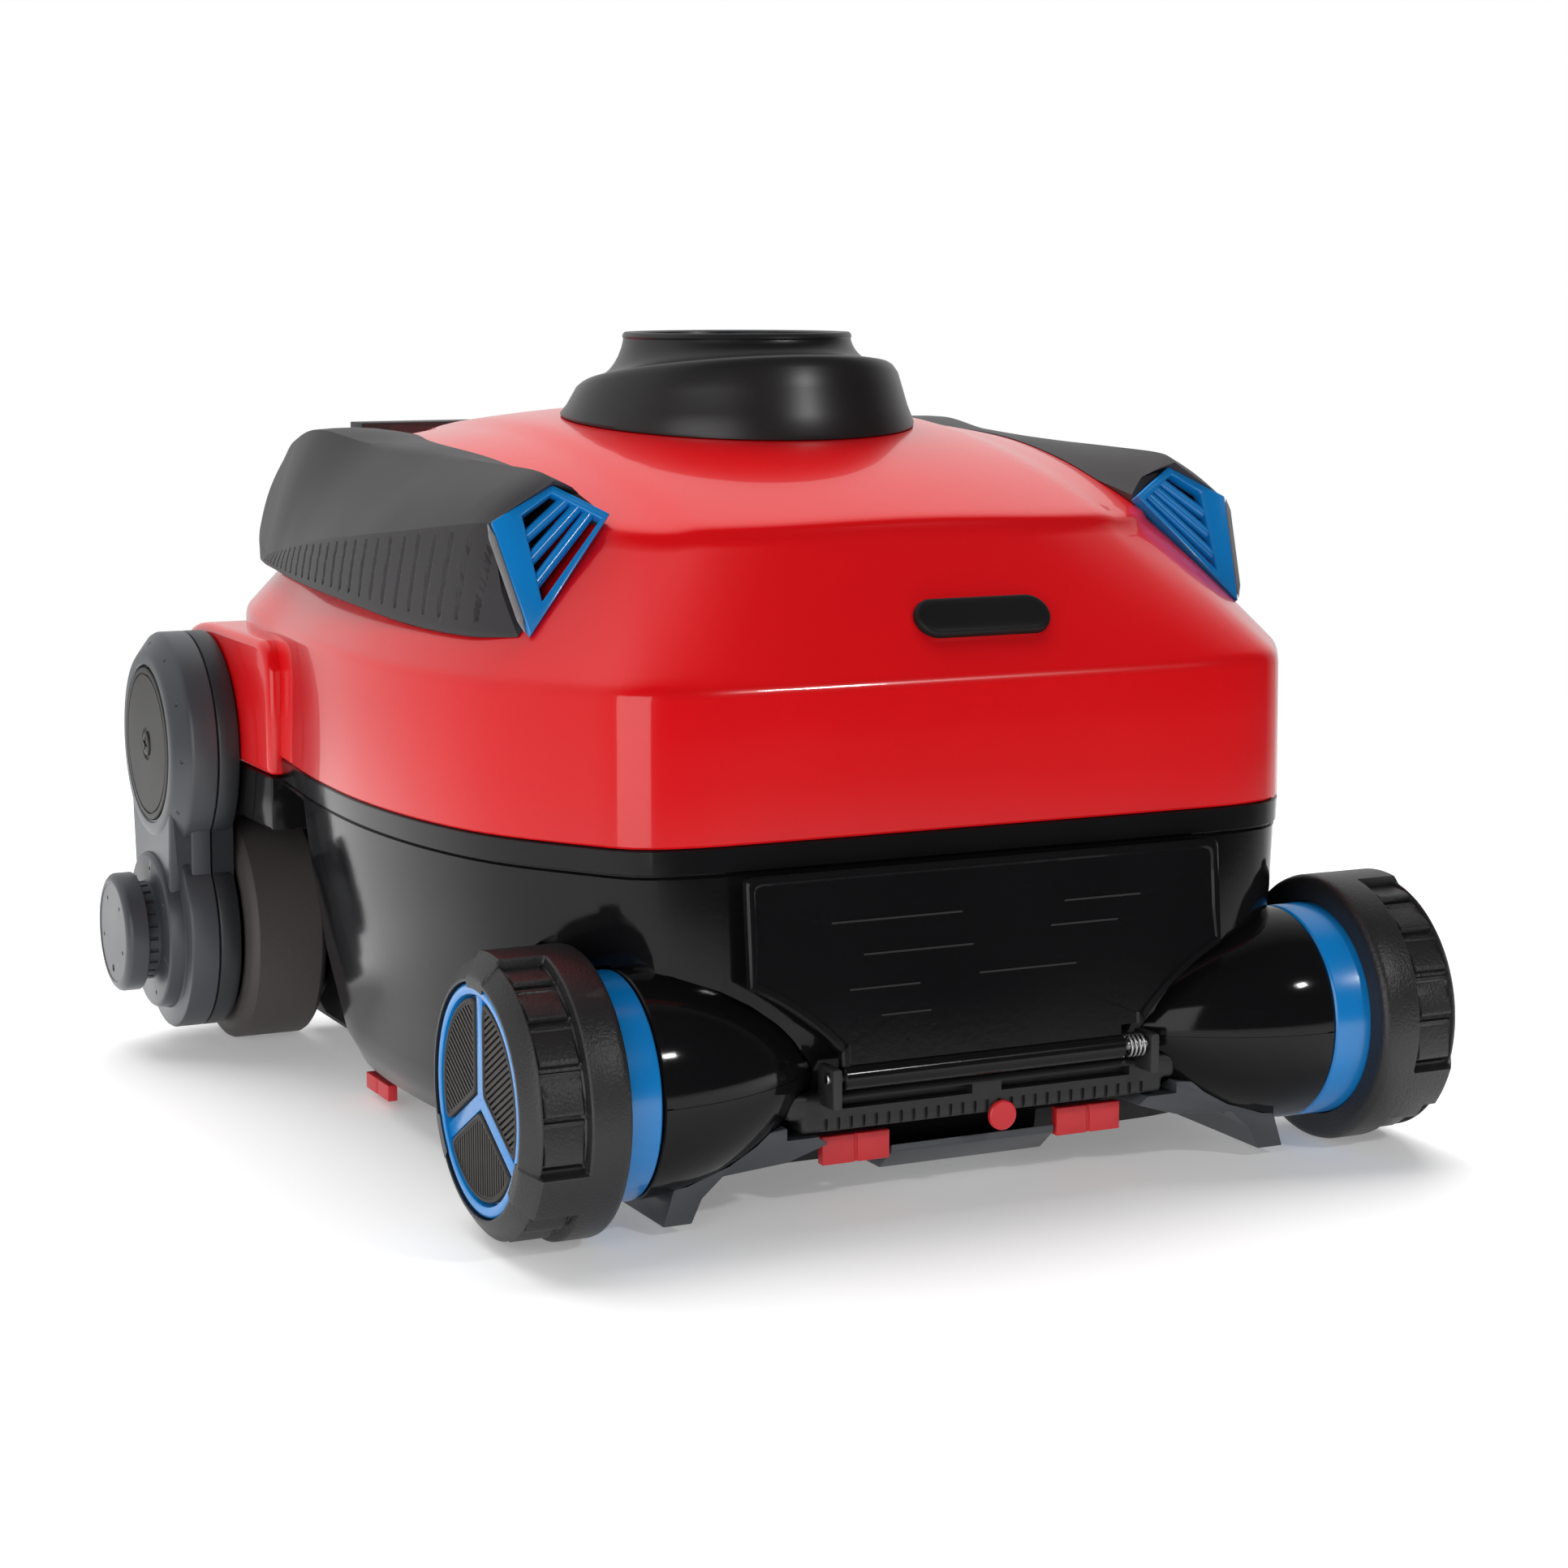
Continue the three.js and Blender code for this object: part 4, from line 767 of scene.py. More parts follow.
SHELL_SPACE = shell_rings(-.0003)
SHELL_SPACE = [centre_of(SHELL_SPACE[0])] + SHELL_SPACE + [centre_of(SHELL_SPACE[-1])]
grip = build_grip()
space = skin("shell space", SHELL_SPACE)
combined(grip, space)
smoothed(grip, 34)
fitted_pair(grip, GRIP_GREY, "grip_grey", "root", "side_grip_right")

# The worn, paler bead between each grip and its vent, from the outer corner down to the foot.
WORN_GREY = moulding("Worn grey edge", (.17, .165, .17), (.42, .42, .42), 0.75,
                     grain=2600, relief=0.6, depth=.0004, drift=0.35, marks=0.9)


EDGE_OUT = (VENT["outer"] - VENT["foot"]).normalized().cross(VENT_OUT)
EDGE_OUT = EDGE_OUT if EDGE_OUT.dot(VENT["foot"] - VENT["inner"]) > 0 else -EDGE_OUT


def build_bead():
    rings = []
    for k in range(25):
        t = k / 24
        p = vent_point(.04 + .96 * t, 1.0, -.0012) + EDGE_OUT * .0012
        swell = .0013 * min(1, 8 * t, 8 * (1 - t)) + 1e-5
        side, ahead = EDGE_OUT, VENT_OUT
        rings.append([p + (side * math.cos(a) + ahead * math.sin(a)) * swell
                      for a in (2 * math.pi * i / 12 for i in range(12))])
    bead = capped("grip_edge_bead_right", rings)
    return smoothed(bead, 60)


fitted_pair(build_bead(), WORN_GREY, "grip_grey", "root")

# ---- Rear handle ----
# A dark bar that joins the two grips at the back, by which the cleaner is lifted out. A leg at
# each end runs down behind the grip.


def build_handle():
    y0, y1, low, high = REAR - .038, REAR - .022, WAIST + .063, WAIST + .076
    bar = block("rear_handle_moulding", (-.104, y0, low), (.104, y1, high))
    leg = block("handle leg", (.090, y0, WAIST + .016), (.104, y1, high - .0005))
    combined(bar, leg, mirror_image(leg, "handle leg left"), how="UNION")
    eased(bar, .0032, angle=40, segments=4)
    combined(bar, skin("shell space", SHELL_SPACE))
    return smoothed(bar, 34)


fitted(build_handle(), GRIP_GREY, "grip_grey", "root", "rear_handle")

# ---- Front wheel housings ----
# Bullet-shaped gloss black mouldings that carry the front axles; their open ends face the hubs.
# A fine line runs round each, where the two halves of its mould met.


def build_housing():
    profile = [(HOUSING_RIM - HOUSING_LENGTH + .0004, .0008)]
    for k in range(1, 41):
        x = HOUSING_RIM - HOUSING_LENGTH * (1 - (k / 40) ** 1.6)
        profile.append((x, housing_radius(x)))
    profile[-1] = (HOUSING_RIM - .0005, .0404)
    profile += [(HOUSING_RIM, .0399), (HOUSING_RIM, .0385), (HOUSING_RIM - .005, .0380),
                (HOUSING_RIM - .005, .0063), (HOUSING_RIM - .0245, .0063), (HOUSING_RIM - .0245, 0)]
    housing = turned("front_housing_moulding_right", profile, FRONT_AXLE_Y, FRONT_AXLE_Z, segments=128)
    # The line where the two halves of the mould met.
    line = block("mould line", (.070, -.30, FRONT_AXLE_Z - .00025), (.1355, -.16, FRONT_AXLE_Z + .00025))
    inside = turned("mould line core", [(x, max(.0003, r - .0003)) for x, r in profile[3:40]],
                    FRONT_AXLE_Y, FRONT_AXLE_Z, segments=96)
    combined(line, inside)
    combined(housing, line)
    return smoothed(housing, 40)


fitted_pair(build_housing(), GLOSS_BLACK, "body_black", "root", "front_housing_right")

# ---- Front hubs ----
# Glossy blue hubs with a bright outer ring and three arms set in a shallow dish.
WHEEL_FACE = 0.1892


def radial_bar(name, degrees, x0, x1, half_width, reach, y, z):
    bar = block(name, (x0, 0, -half_width), (x1, reach, half_width))
    return set_round(bar, (0, y, z), degrees)


def build_front_hub():
    face, dish, radius = WHEEL_FACE - .0006, WHEEL_FACE - .005, .0406
    hub = turned("front_hub_moulding_right", [
        (face - .0124, .0066), (.1368, .0066), (.1368, .0396), (.1374, .0402), (.1378, .0404),
        (.1470, .0404), (.1475, radius), (face - .0014, radius), (face - .0004, radius - .0006),
        (face, radius - .0016), (face, .0372), (face - .0004, .0366), (dish + .001, .0362),
        (dish, .0358), (dish, 0)], FRONT_AXLE_Y, FRONT_AXLE_Z, segments=160)
    for k in range(3):
        arm = radial_bar("hub arm", 90 + 120 * k, dish - .001, dish + .0033, .0028, .0362,
                         FRONT_AXLE_Y, FRONT_AXLE_Z)
        combined(hub, eased(arm, .0005, angle=60), how="UNION")
    return smoothed(hub, 38)


fitted_pair(build_front_hub(), BLUE, "hub_blue", "front_wheel_right", "front_hub_right")

# ---- Hub pads ----
# Three ribbed grey pads fill the spaces between the arms. Each has a smooth raised border,
# and its ribs run straight out from the axle.
PAD_GREY = moulding("Warm grey pad rubber", (.015, .013, .0115), (.11, .10, .09), 0.58,
                    grain=1700, relief=0.3, depth=.0002, drift=0.10, marks=0.4)


PAD_MIDDLE, PAD_FAR = .0190, .0352            # from the axle to a pad's middle and its far edge


def pad_reach(angle, shrink=0.0):
    """Distance from the pad's middle to its rounded outline."""
    middle, far = PAD_MIDDLE, PAD_FAR - shrink
    side = middle * math.sin(math.radians(60)) - .0034 - shrink
    reach = []
    for sign in (-1, 1):                                  # the edge beside each arm
        facing = math.cos(angle - sign * math.radians(150))
        if facing > 1e-6:
            reach.append(side / facing)
    c = math.cos(angle)
    reach.append(-middle * c + math.sqrt(far * far - middle * middle * (1 - c * c)))
    return sum(r ** -12 for r in reach) ** (-1 / 12)


def pad_ring(x, shrink, count=120):
    ring = []
    for k in range(count):
        a = 2 * math.pi * k / count
        r = pad_reach(a, shrink)
        ring.append(Vector((x, PAD_MIDDLE + r * math.cos(a), r * math.sin(a))))
    return ring


def build_pads():
    low, top = WHEEL_FACE - .0047, WHEEL_FACE - .0011
    rings = [pad_ring(low, 0), pad_ring(top - .0006, 0), pad_ring(top - .0002, .0002), pad_ring(top, .0006),
             pad_ring(top, .0013), pad_ring(top - .0004, .0016)]
    pad = capped("hub_pads_moulding_right", rings)
    inside = [pad_ring(low + .001, .0021), pad_ring(top + .002, .0021)]
    field = capped("ribbed field", inside)
    groove = block("groove", (low + .0022, .001, -.00050), (top + .001, .036, .00050))
    groove.data.transform(Matrix.Translation((0, 0, -.0242)))
    modified(groove, "ARRAY", count=23, use_relative_offset=False, use_constant_offset=True,
             constant_offset_displace=(0, 0, .0022))
    combined(groove, field, how="INTERSECT")
    combined(pad, groove)
    copies = []
    for degrees in (150, 270):
        twin = pad.copy()
        twin.data = pad.data.copy()
        bpy.context.scene.collection.objects.link(twin)
        twin.data.transform(Matrix.Rotation(math.radians(degrees), 4, "X"))
        copies.append(twin)
    pad.data.transform(Matrix.Rotation(math.radians(30), 4, "X"))
    bpy.ops.object.select_all(action="DESELECT")
    for piece in (pad, *copies):
        piece.select_set(True)
    bpy.context.view_layer.objects.active = pad
    bpy.ops.object.join()
    pad.data.transform(Matrix.Translation((0, FRONT_AXLE_Y, FRONT_AXLE_Z)))
    return smoothed(close_up(pad), 30)


fitted_pair(build_pads(), PAD_GREY, "grip_grey", "front_wheel_right", "hub_pads_right")

# ---- Front tyres ----
# Wide black tyres. The inner part of the tread is smooth; the outer part is sunk in three
# long panels with ratchet ribs, between three full-height blocks that meet the hub's arms.
TYRE_BLACK = moulding("Black tyre rubber", (.0125, .012, .013), (.09, .09, .09), 0.37,
                      grain=900, relief=0.6, depth=.0004, drift=0.10, marks=0.35, rough_drift=0.05)


def in_panel(degrees):
    """1 inside the long sunk panels of the tread, 0 on the blocks between them."""
    a = (degrees + 20) % 120
    return max(0.0, min(1.0, a, 100 - a))                 # each end slopes up over one degree


def rib_height(degrees):
    """The ratchet ribs: each flat rises to a narrow rib beyond a groove."""
    a = ((degrees + 20) % 120) % 20
    steps = [(0, .0000), (.7, .0004), (2.2, .0004), (2.9, -.0008), (4.4, -.0009), (5.2, .0018),
             (6.2, .0019), (19.4, .0001), (20.01, 0)]
    for (a0, h0), (a1, h1) in zip(steps, steps[1:]):
        if a <= a1:
            return h0 + (h1 - h0) * (a - a0) / (a1 - a0)
    return 0.0


def build_front_tyre():
    full, inner = .05105, .1514
    rows = [  # place along the axle, block radius, panel radius, how much of the ribs shows
        (inner, .0411, .0411, 0), (inner, .0470, .0470, 0), (inner + .0002, .0487, .0487, 0),
        (inner + .0009, .0499, .0499, 0), (inner + .0020, .0507, .0507, 0), (inner + .0034, full, full, 0),
        (inner + .0090, full, full, 0), (inner + .0140, full, full, 0), (inner + .0149, full, .0510, 0),
        (inner + .0155, full, .0504, 0), (inner + .0163, full, .0480, 0), (inner + .0169, full, .0474, .3),
        (inner + .0178, full, .0472, 1), (inner + .0230, full, .0472, 1), (inner + .0290, full, .0472, 1),
        (inner + .0310, full, .0472, 1), (inner + .0316, full, .0474, .3), (inner + .0321, .0510, .0487, 0),
        (inner + .0327, .0505, .0487, 0), (inner + .0332, .0498, .0483, 0), (inner + .0350, .0474, .0462, 0),
        (inner + .0366, .0450, .0438, 0), (inner + .0374, .0436, .0426, 0), (inner + .0378, .0424, .0418, 0),
        (inner + .0378, .0388, .0409, 0), (inner + .0374, .0388, .0409, 0), (inner + .0374, .0410, .0410, 0),
    ]
    degrees = []
    for sector in (-20, 100, 220):                        # finer steps where the ribs turn
        for panel in range(5):
            degrees += [sector + 20 * panel + a for a in
                        (0, .35, .7, 1.1, 1.6, 2.2, 2.55, 2.9, 3.6, 4.4, 4.8, 5.2, 5.7, 6.2, 7.5, 9.5, 12,
                         14.5, 17, 18.6, 19.0, 19.4)]
        degrees += [sector + 100 + a for a in (0, 1, 3, 5, 7.5, 10, 12.5, 15, 17, 19)]
    rings = []
    for x, block_radius, panel_radius, ribs in rows:
        ring = []
        for a in degrees:
            share = in_panel(a)
            r = block_radius + (panel_radius + ribs * rib_height(a) - block_radius) * share
            ring.append(Vector((x, FRONT_AXLE_Y - r * math.cos(math.radians(a)),
                                FRONT_AXLE_Z + r * math.sin(math.radians(a)))))
        rings.append(ring)
    return smoothed(skin("front_tyre_moulding_right", rings + [rings[0]]), 26)


fitted_pair(build_front_tyre(), TYRE_BLACK, "tyre_black", "front_wheel_right", "front_tyre_right")

# ---- Rear tyres and hubs ----
# Smooth brown-grey rear tyres with soft shoulders, on black hubs.
TYRE_BROWN = moulding("Brown grey tyre rubber", (.060, .050, .050), (.20, .18, .18), 0.55,
                      grain=1100, relief=0.3, depth=.0003, drift=0.08, marks=0.5, rough_drift=0.05)


def build_rear_tyre():
    x0, x1, radius = .144, .178, .050
    tyre = turned("rear_tyre_moulding_right", [
        (x0, .0384), (x0, .0455), (x0 + .0003, .0467), (x0 + .0010, .0480), (x0 + .0022, .0494),
        (x0 + .0034, radius), (x1 - .0034, radius), (x1 - .0022, .0494), (x1 - .0010, .0480),
        (x1 - .0003, .0467), (x1, .0455), (x1, .0384), (x0, .0384)],
        REAR_AXLE_Y, REAR_AXLE_Z, segments=160, ring=True)
    return smoothed(tyre, 24)


def build_rear_hub():
    x0, x1 = .144, .178
    hub = turned("rear_hub_moulding_right", [
        (x0, .0342), (x0, .0376), (x0 + .0004, .0380), (x1 - .0004, .0380), (x1, .0376), (x1, .0342),
        (.162, .0330), (.162, .0145), (x1 - .001, .0125), (x1 - .001, .0064), (x0 + .001, .0064),
        (x0 + .001, .0125), (.157, .0145), (.157, .0330), (x0, .0342)],
        REAR_AXLE_Y, REAR_AXLE_Z, segments=96, ring=True)
    return smoothed(hub, 30)


rear_tyre, rear_hub = build_rear_tyre(), build_rear_hub()
fitted_pair(rear_tyre, TYRE_BROWN, "tyre_brown", "rear_wheel_right", "rear_tyre_right")
fitted_pair(rear_hub, GLOSS_BLACK, "body_black", "rear_wheel_right", "rear_hub_right")

# ---- Rear wheel arch liners ----
# A black moulding between the tub and each arm closes the space over the tyre, and lets the
# motor's shaft through.


def build_liner():
    liner = eased(block("arch_liner_right", (.1424, .0890, .1035), (.1788, .2215, .1258)), .0015)
    tyre_space = turned("tyre space", [(.13, .0530), (.19, .0530)], REAR_AXLE_Y, REAR_AXLE_Z, segments=128)
    shaft_space = turned("shaft space", [(.13, .0060), (.19, .0060)], REAR_AXLE_Y, DRUM_Z, segments=48)
    combined(liner, tyre_space, shaft_space)
    return smoothed(liner, 30)


fitted_pair(build_liner(), GLOSS_BLACK, "body_black", "root")

# ---- Drive arms ----
# Each arm is two slate grey covers with the gears between them: a drum above, a hub below,
# and a web that ties them. A disc with a cross screw closes the drum, a cap closes the axle.
SLATE_DARK = moulding("Dark slate plastic", (.022, .024, .028), (.12, .125, .13), 0.38,
                      grain=1500, relief=0.2, depth=.0002, drift=0.06, marks=0.3)
SLATE = moulding("Slate plastic", (.048, .053, .061), (.18, .19, .20), 0.33,
                 grain=1500, relief=0.2, depth=.0002, drift=0.06, marks=0.3, rough_drift=0.05)
DISC_GREY = moulding("Warm grey disc", (.013, .012, .011), (.11, .10, .09), 0.48,
                     grain=1700, relief=0.25, depth=.0002, drift=0.07, marks=0.3)
ARM_Y = REAR_AXLE_Y
ARM_INNER, SPLIT, ARM_FACE = .180, .1898, .2077


def strap_ring(x, low, high, around=144):
    """Two circles and the tangents that join them, seen along the axle."""
    gap = DRUM_Z - REAR_AXLE_Z
    lean = math.asin((high - low) / gap)                  # where the tangents leave the circles
    ring = []
    for k in range(around):
        a = -math.pi / 2 + 2 * math.pi * k / around
        up = Vector((0, math.cos(a), math.sin(a)))
        upper = math.sin(a) > math.sin(-lean)
        ring.append(Vector((x, ARM_Y, DRUM_Z if upper else REAR_AXLE_Z)) + up * (high if upper else low))
    return ring


def strap(name, rows):
    rings = [strap_ring(x, low, high) for x, low, high in rows]
    return capped(name, rings)


def rod(name, x0, x1, radius, y, z, segments=64):
    return turned(name, [(x0, radius), (x1, radius)], y, z, segments=segments)


def build_arm_inner():
    def wheel(name, radius, z):
        return turned(name, [
            (ARM_INNER, radius - .0022), (ARM_INNER + .0007, radius - .0007), (ARM_INNER + .0022, radius),
            (SPLIT - .0012, radius), (SPLIT - .0006, radius - .0003), (SPLIT - .0003, radius - .0008)],
            ARM_Y, z, segments=160)
    cover = wheel("arm_inner_moulding_right", .0475, DRUM_Z)
    waist = strap("arm waist", [(ARM_INNER + .0002, .0315, .0335), (SPLIT - .0004, .0315, .0335)])
    combined(cover, wheel("lower end", .043, REAR_AXLE_Z), waist, how="UNION")
    pocket = strap("gear space", [(ARM_INNER + .003, .0286, .0286), (SPLIT + .004, .0286, .0286)])
    holes = [rod("axle hole", .17, .20, .0072, ARM_Y, REAR_AXLE_Z),
             rod("shaft hole", .17, .20, .0052, ARM_Y, DRUM_Z)]
    combined(cover, pocket, *holes)
    pin = rod("idler boss", ARM_INNER + .001, .1832, .005, ARM_Y, IDLER_Z)
    pin_end = rod("idler pin", ARM_INNER + .001, SPLIT + .0046, .003, ARM_Y, IDLER_Z)
    combined(cover, pin, pin_end, how="UNION")
    return smoothed(cover, 32)


def build_arm_outer():
    shoulder, top = ARM_FACE - .0067, .0475
    drum = turned("arm_outer_moulding_right", [
        (SPLIT, top - .0008), (SPLIT + .0006, top), (shoulder - .0012, top), (shoulder, top - .0006),
        (shoulder + .0010, top - .0018), (ARM_FACE - .0014, top - .0072), (ARM_FACE - .0004, top - .0086),
        (ARM_FACE, top - .0102), (ARM_FACE, .0343), (ARM_FACE - .0006, .0338),
        (ARM_FACE - .003, .0336), (ARM_FACE - .003, 0)], ARM_Y, DRUM_Z, segments=160)
    hub = turned("arm hub", [
        (SPLIT, .0422), (SPLIT + .0006, .0430), (shoulder - .0004, .0430), (shoulder + .0006, .0424),
        (shoulder + .001, .0412), (shoulder + .001, .0354), (shoulder + .0016, .0345),
        (ARM_FACE + .0001, .0336), (ARM_FACE + .0009, .0330), (ARM_FACE + .0013, .0320),
        (ARM_FACE + .0013, .0222), (ARM_FACE + .0018, .0212), (ARM_FACE + .0073, .0208),
        (ARM_FACE + .0073, 0)], ARM_Y, REAR_AXLE_Z, segments=160)
    base = strap("arm base", [(SPLIT, .0310, .0330), (SPLIT + .0006, .0318, .0338),
                              (shoulder - .0033, .0318, .0338), (shoulder - .0027, .0314, .0334),
                              (shoulder - .0025, .0306, .0326)])
    web = strap("arm web", [(SPLIT + .004, .0250, .0330), (ARM_FACE - .0020, .0250, .0330),
                            (ARM_FACE - .0012, .0246, .0326), (ARM_FACE - .0008, .0236, .0316)])
    combined(drum, hub, base, web, how="UNION")
    recess = rod("disc seat", ARM_FACE - .003, ARM_FACE + .004, .0331, ARM_Y, DRUM_Z, segments=160)
    dimples = []
    for k in range(11):                                   # small moulded pits round the drum's chamfer
        a = math.radians(20 + 360 / 11 * k)
        dimples.append(ball("dimple", (ARM_FACE - .0033 + .0004, ARM_Y + .0431 * math.cos(a),
                                       DRUM_Z + .0431 * math.sin(a)), .0011))
    for k in range(7):
        a = math.radians(200 + 360 / 7 * k)
        dimples.append(ball("dimple", (ARM_FACE + .0014, ARM_Y + .0275 * math.cos(a),
                                       REAR_AXLE_Z + .0275 * math.sin(a)), .0010))
    flutes = []
    for k in range(24):
        a = math.radians(15 * k)
        flutes.append(rod("flute", ARM_FACE + .0028, ARM_FACE + .010, .0009,
                          ARM_Y + .0210 * math.cos(a), REAR_AXLE_Z + .0210 * math.sin(a), segments=10))
    bores = [rod("axle bore", SPLIT - .005, ARM_FACE - .0024, .0072, ARM_Y, REAR_AXLE_Z),
             rod("shaft bore", SPLIT - .005, .1954, .0052, ARM_Y, DRUM_Z),
             rod("idler bore", SPLIT - .005, SPLIT + .005, .0033, ARM_Y, IDLER_Z)]
    combined(drum, recess, *bores, *dimples, *flutes)
    return smoothed(close_up(drum), 34)


def ball(name, place, radius):
    bpy.ops.object.select_all(action="DESELECT")
    bpy.ops.mesh.primitive_uv_sphere_add(segments=16, ring_count=10, radius=radius, location=place)
    bpy.ops.object.transform_apply(location=True)
    bpy.context.object.name = name
    return bpy.context.object


def build_disc():
    low, high = ARM_FACE - .0027, ARM_FACE + .0002
    disc = turned("drum_disc_moulding_right", [
        (low, .0326), (high - .0005, .0326), (high - .0001, .0323), (high, .0318), (high, .0304),
        (high - .0006, .0302), (high - .0006, .0297), (high, .0295), (high, .0072), (high - .0007, .0068),
        (high - .0007, .0053), (high + .0002, .0051), (high + .0005, .0047), (high + .0006, .0040),
        (high + .0006, 0)],
        ARM_Y, DRUM_Z, segments=160)
    cross = []
    for turn in (20, 110):
        bar = block("cross", (high - .0012, -.0031, -.00065), (high + .002, .0031, .00065))
        cross.append(set_round(bar, (0, ARM_Y, DRUM_Z), turn))
    return smoothed(combined(disc, *cross), 34)


def build_cap():
    low, high = ARM_FACE + .0076, .225
    cap = turned("axle_cap_moulding_right", [
        (low, .0250), (low + .0005, .0255), (high - .0028, .0255), (high - .0018, .0252),
        (high - .0007, .0241), (high, .0226), (high, .0214), (high - .0003, .0211), (high - .0003, 0)],
        ARM_Y, REAR_AXLE_Z, segments=128)
    pits = []
    for k, radius in enumerate((.0010, .0009, .0010, .0017, .0009)):
        a = math.radians(60 + 72 * k)
        place = (high - .0001, ARM_Y + .0160 * math.cos(a), REAR_AXLE_Z + .0160 * math.sin(a))
        pits.append(ball("pit", place, radius))
    return smoothed(combined(cap, *pits), 34)


for build, finish, slot, node in (
        (build_arm_inner, SLATE_DARK, "arm_dark", "arm_inner_cover"),
        (build_arm_outer, SLATE, "arm_slate", "arm_outer_cover"),
        (build_disc, DISC_GREY, "grip_grey", "drum_disc"),
        (build_cap, SLATE, "arm_slate", "axle_cap")):
    piece = build()
    fitted(piece, finish, slot, "root", node + "_right")
    fitted(mirror_image(piece, node + "_moulding_left"), finish, slot, "root", node + "_left")

# ---- Bottom lid and sill ----
# The flat lid under the cleaner has two lipped intakes. In front of it a matt black sill
# carries the door's hinge; two long slots and a row of ribs show below the door.
MATT_BLACK = moulding("Matt black plastic", (.013, .013, .014), (.09, .09, .092), 0.5,
                      grain=1400, relief=0.25, depth=.0002, marks=0.3)
LID_HALF, LID_LOW, LID_TOP = ARCH_HALF - .004, .009, .0137


def build_lid():
    y0, y1 = FRONT + .056, REAR - .046
    lid = eased(block("bottom_lid_moulding", (-LID_HALF, y0, LID_LOW), (LID_HALF, y1, LID_TOP)), .0012)
    for side in (-1, 1):
        x0, x1 = sorted((side * .037, side * .105))
        lip = eased(block("intake lip", (x0, -.035, LID_LOW - .003), (x1, .027, LID_LOW + .001)), .0014)
        combined(lid, lip, how="UNION")
        x0, x1 = sorted((side * .042, side * .100))
        combined(lid, block("intake", (x0, -.030, 0), (x1, .022, .02)))
    ribs = []
    for k in range(7):                                    # stiffening ribs behind the intakes
        y = .048 + .017 * k
        ribs.append(block("lid rib", (-.110, y - .001, LID_LOW - .0012), (.110, y + .001, LID_LOW + .001)))
    combined(lid, *ribs, how="UNION")
    return smoothed(lid, 30)


fitted(build_lid(), MATT_BLACK, "body_black", "root", "bottom_lid")

DOOR_Y, DOOR_Z = FRONT - .0135, FRONT_AXLE_Z      # the hinge line
DOOR_TOP, DOOR_HALF, HINGE_HALF = .1244, .0962, .062


def build_sill():
    y0, high = DOOR_Y + .006, DOOR_Z - .007
    sill = block("front_sill_moulding", (-.080, y0, .030), (.080, FRONT + .004, high))
    combined(sill, block("corner", (.0745, y0 - .01, .02), (.09, FRONT + .01, .0352)),
             block("corner", (-.09, y0 - .01, .02), (-.0745, FRONT + .01, .0352)))
    eased(sill, .0022, angle=60, segments=3)
    slot = block("long slot", (.006, y0 - .005, high - .006), (.060, y0 + .005, high - .0025))
    ear = eased(block("ear", (.063, DOOR_Y - .004, high - .004), (.067, y0 + .003, DOOR_Z + .004)), .0012)
    slots = [slot, mirror_image(slot, "long slot left")]
    combined(sill, *slots)
    combined(sill, mirror_image(ear, "ear left"), ear, how="UNION")
    grooves = []
    for k in range(27):                                   # fine upright ribs along the lower edge
        x = -.065 + .005 * k
        grooves.append(block("rib gap", (x - .0008, y0 - .004, .028), (x + .0008, y0 + .0011, .0352)))
    bore = turned("pin bore", [(-.09, .0022), (.09, .0022)], DOOR_Y, DOOR_Z, segments=24)
    nose = [HOUSING_RIM - HOUSING_LENGTH * (1 - t) for t in (.01, .06, .13, .22, .3, .44, .58, .78, 1)]
    housing_space = turned("housing space", [(.050, .0003)] + [(x, housing_radius(x) + .0003) for x in nose],
                           FRONT_AXLE_Y, FRONT_AXLE_Z, segments=96)
    combined(sill, *grooves, bore, mirror_image(housing_space, "housing space left"), housing_space)
    return smoothed(sill, 34)


fitted(build_sill(), MATT_BLACK, "body_black", "root", "front_sill")

# ---- Front door ----
# A gloss black flap that leans back against the tub and turns on a steel pin at its foot.
# A raised rim runs round it and a few louvre ridges cross it; a small spring closes it.
DOOR_UP = Vector((0, (FRONT - .0065 - DOOR_Y) / (DOOR_TOP - DOOR_Z), 1)).normalized()
DOOR_OUT = Vector((0, -DOOR_UP.z, DOOR_UP.y))


def door_point(x, s, out):
    return Vector((x, DOOR_Y, DOOR_Z)) + DOOR_UP * s + DOOR_OUT * out


def door_outline(shrink, out):
    height = DOOR_TOP - DOOR_Z
    half = DOOR_HALF - shrink
    edge = []
    for k in range(19):
        x = DOOR_HALF + (HINGE_HALF - DOOR_HALF) * k / 18
        edge.append((x - shrink * .75, (housing_radius(x) + .003) / DOOR_UP.z + shrink * .75))
    right = [(half * k / 12, height - shrink) for k in range(1, 12)]
    right += [(half - .0025, height - shrink), (half - .0007, height - shrink - .0007),
              (half, height - shrink - .0025)]
    right += [(half, edge[0][1] + (height - edge[0][1]) * t) for t in (.6, .3)]
    right += edge
    low = max(shrink, 0) + .0002
    right += [(HINGE_HALF - shrink, .012), (HINGE_HALF - shrink, low)]
    right += [(HINGE_HALF * (1 - k / 8), low) for k in range(1, 8)]
    left = [(-x, s) for x, s in reversed(right)]
    line = [(0, height - shrink)] + right + [(0, low)] + left
    return [door_point(x, s, out) for x, s in line]


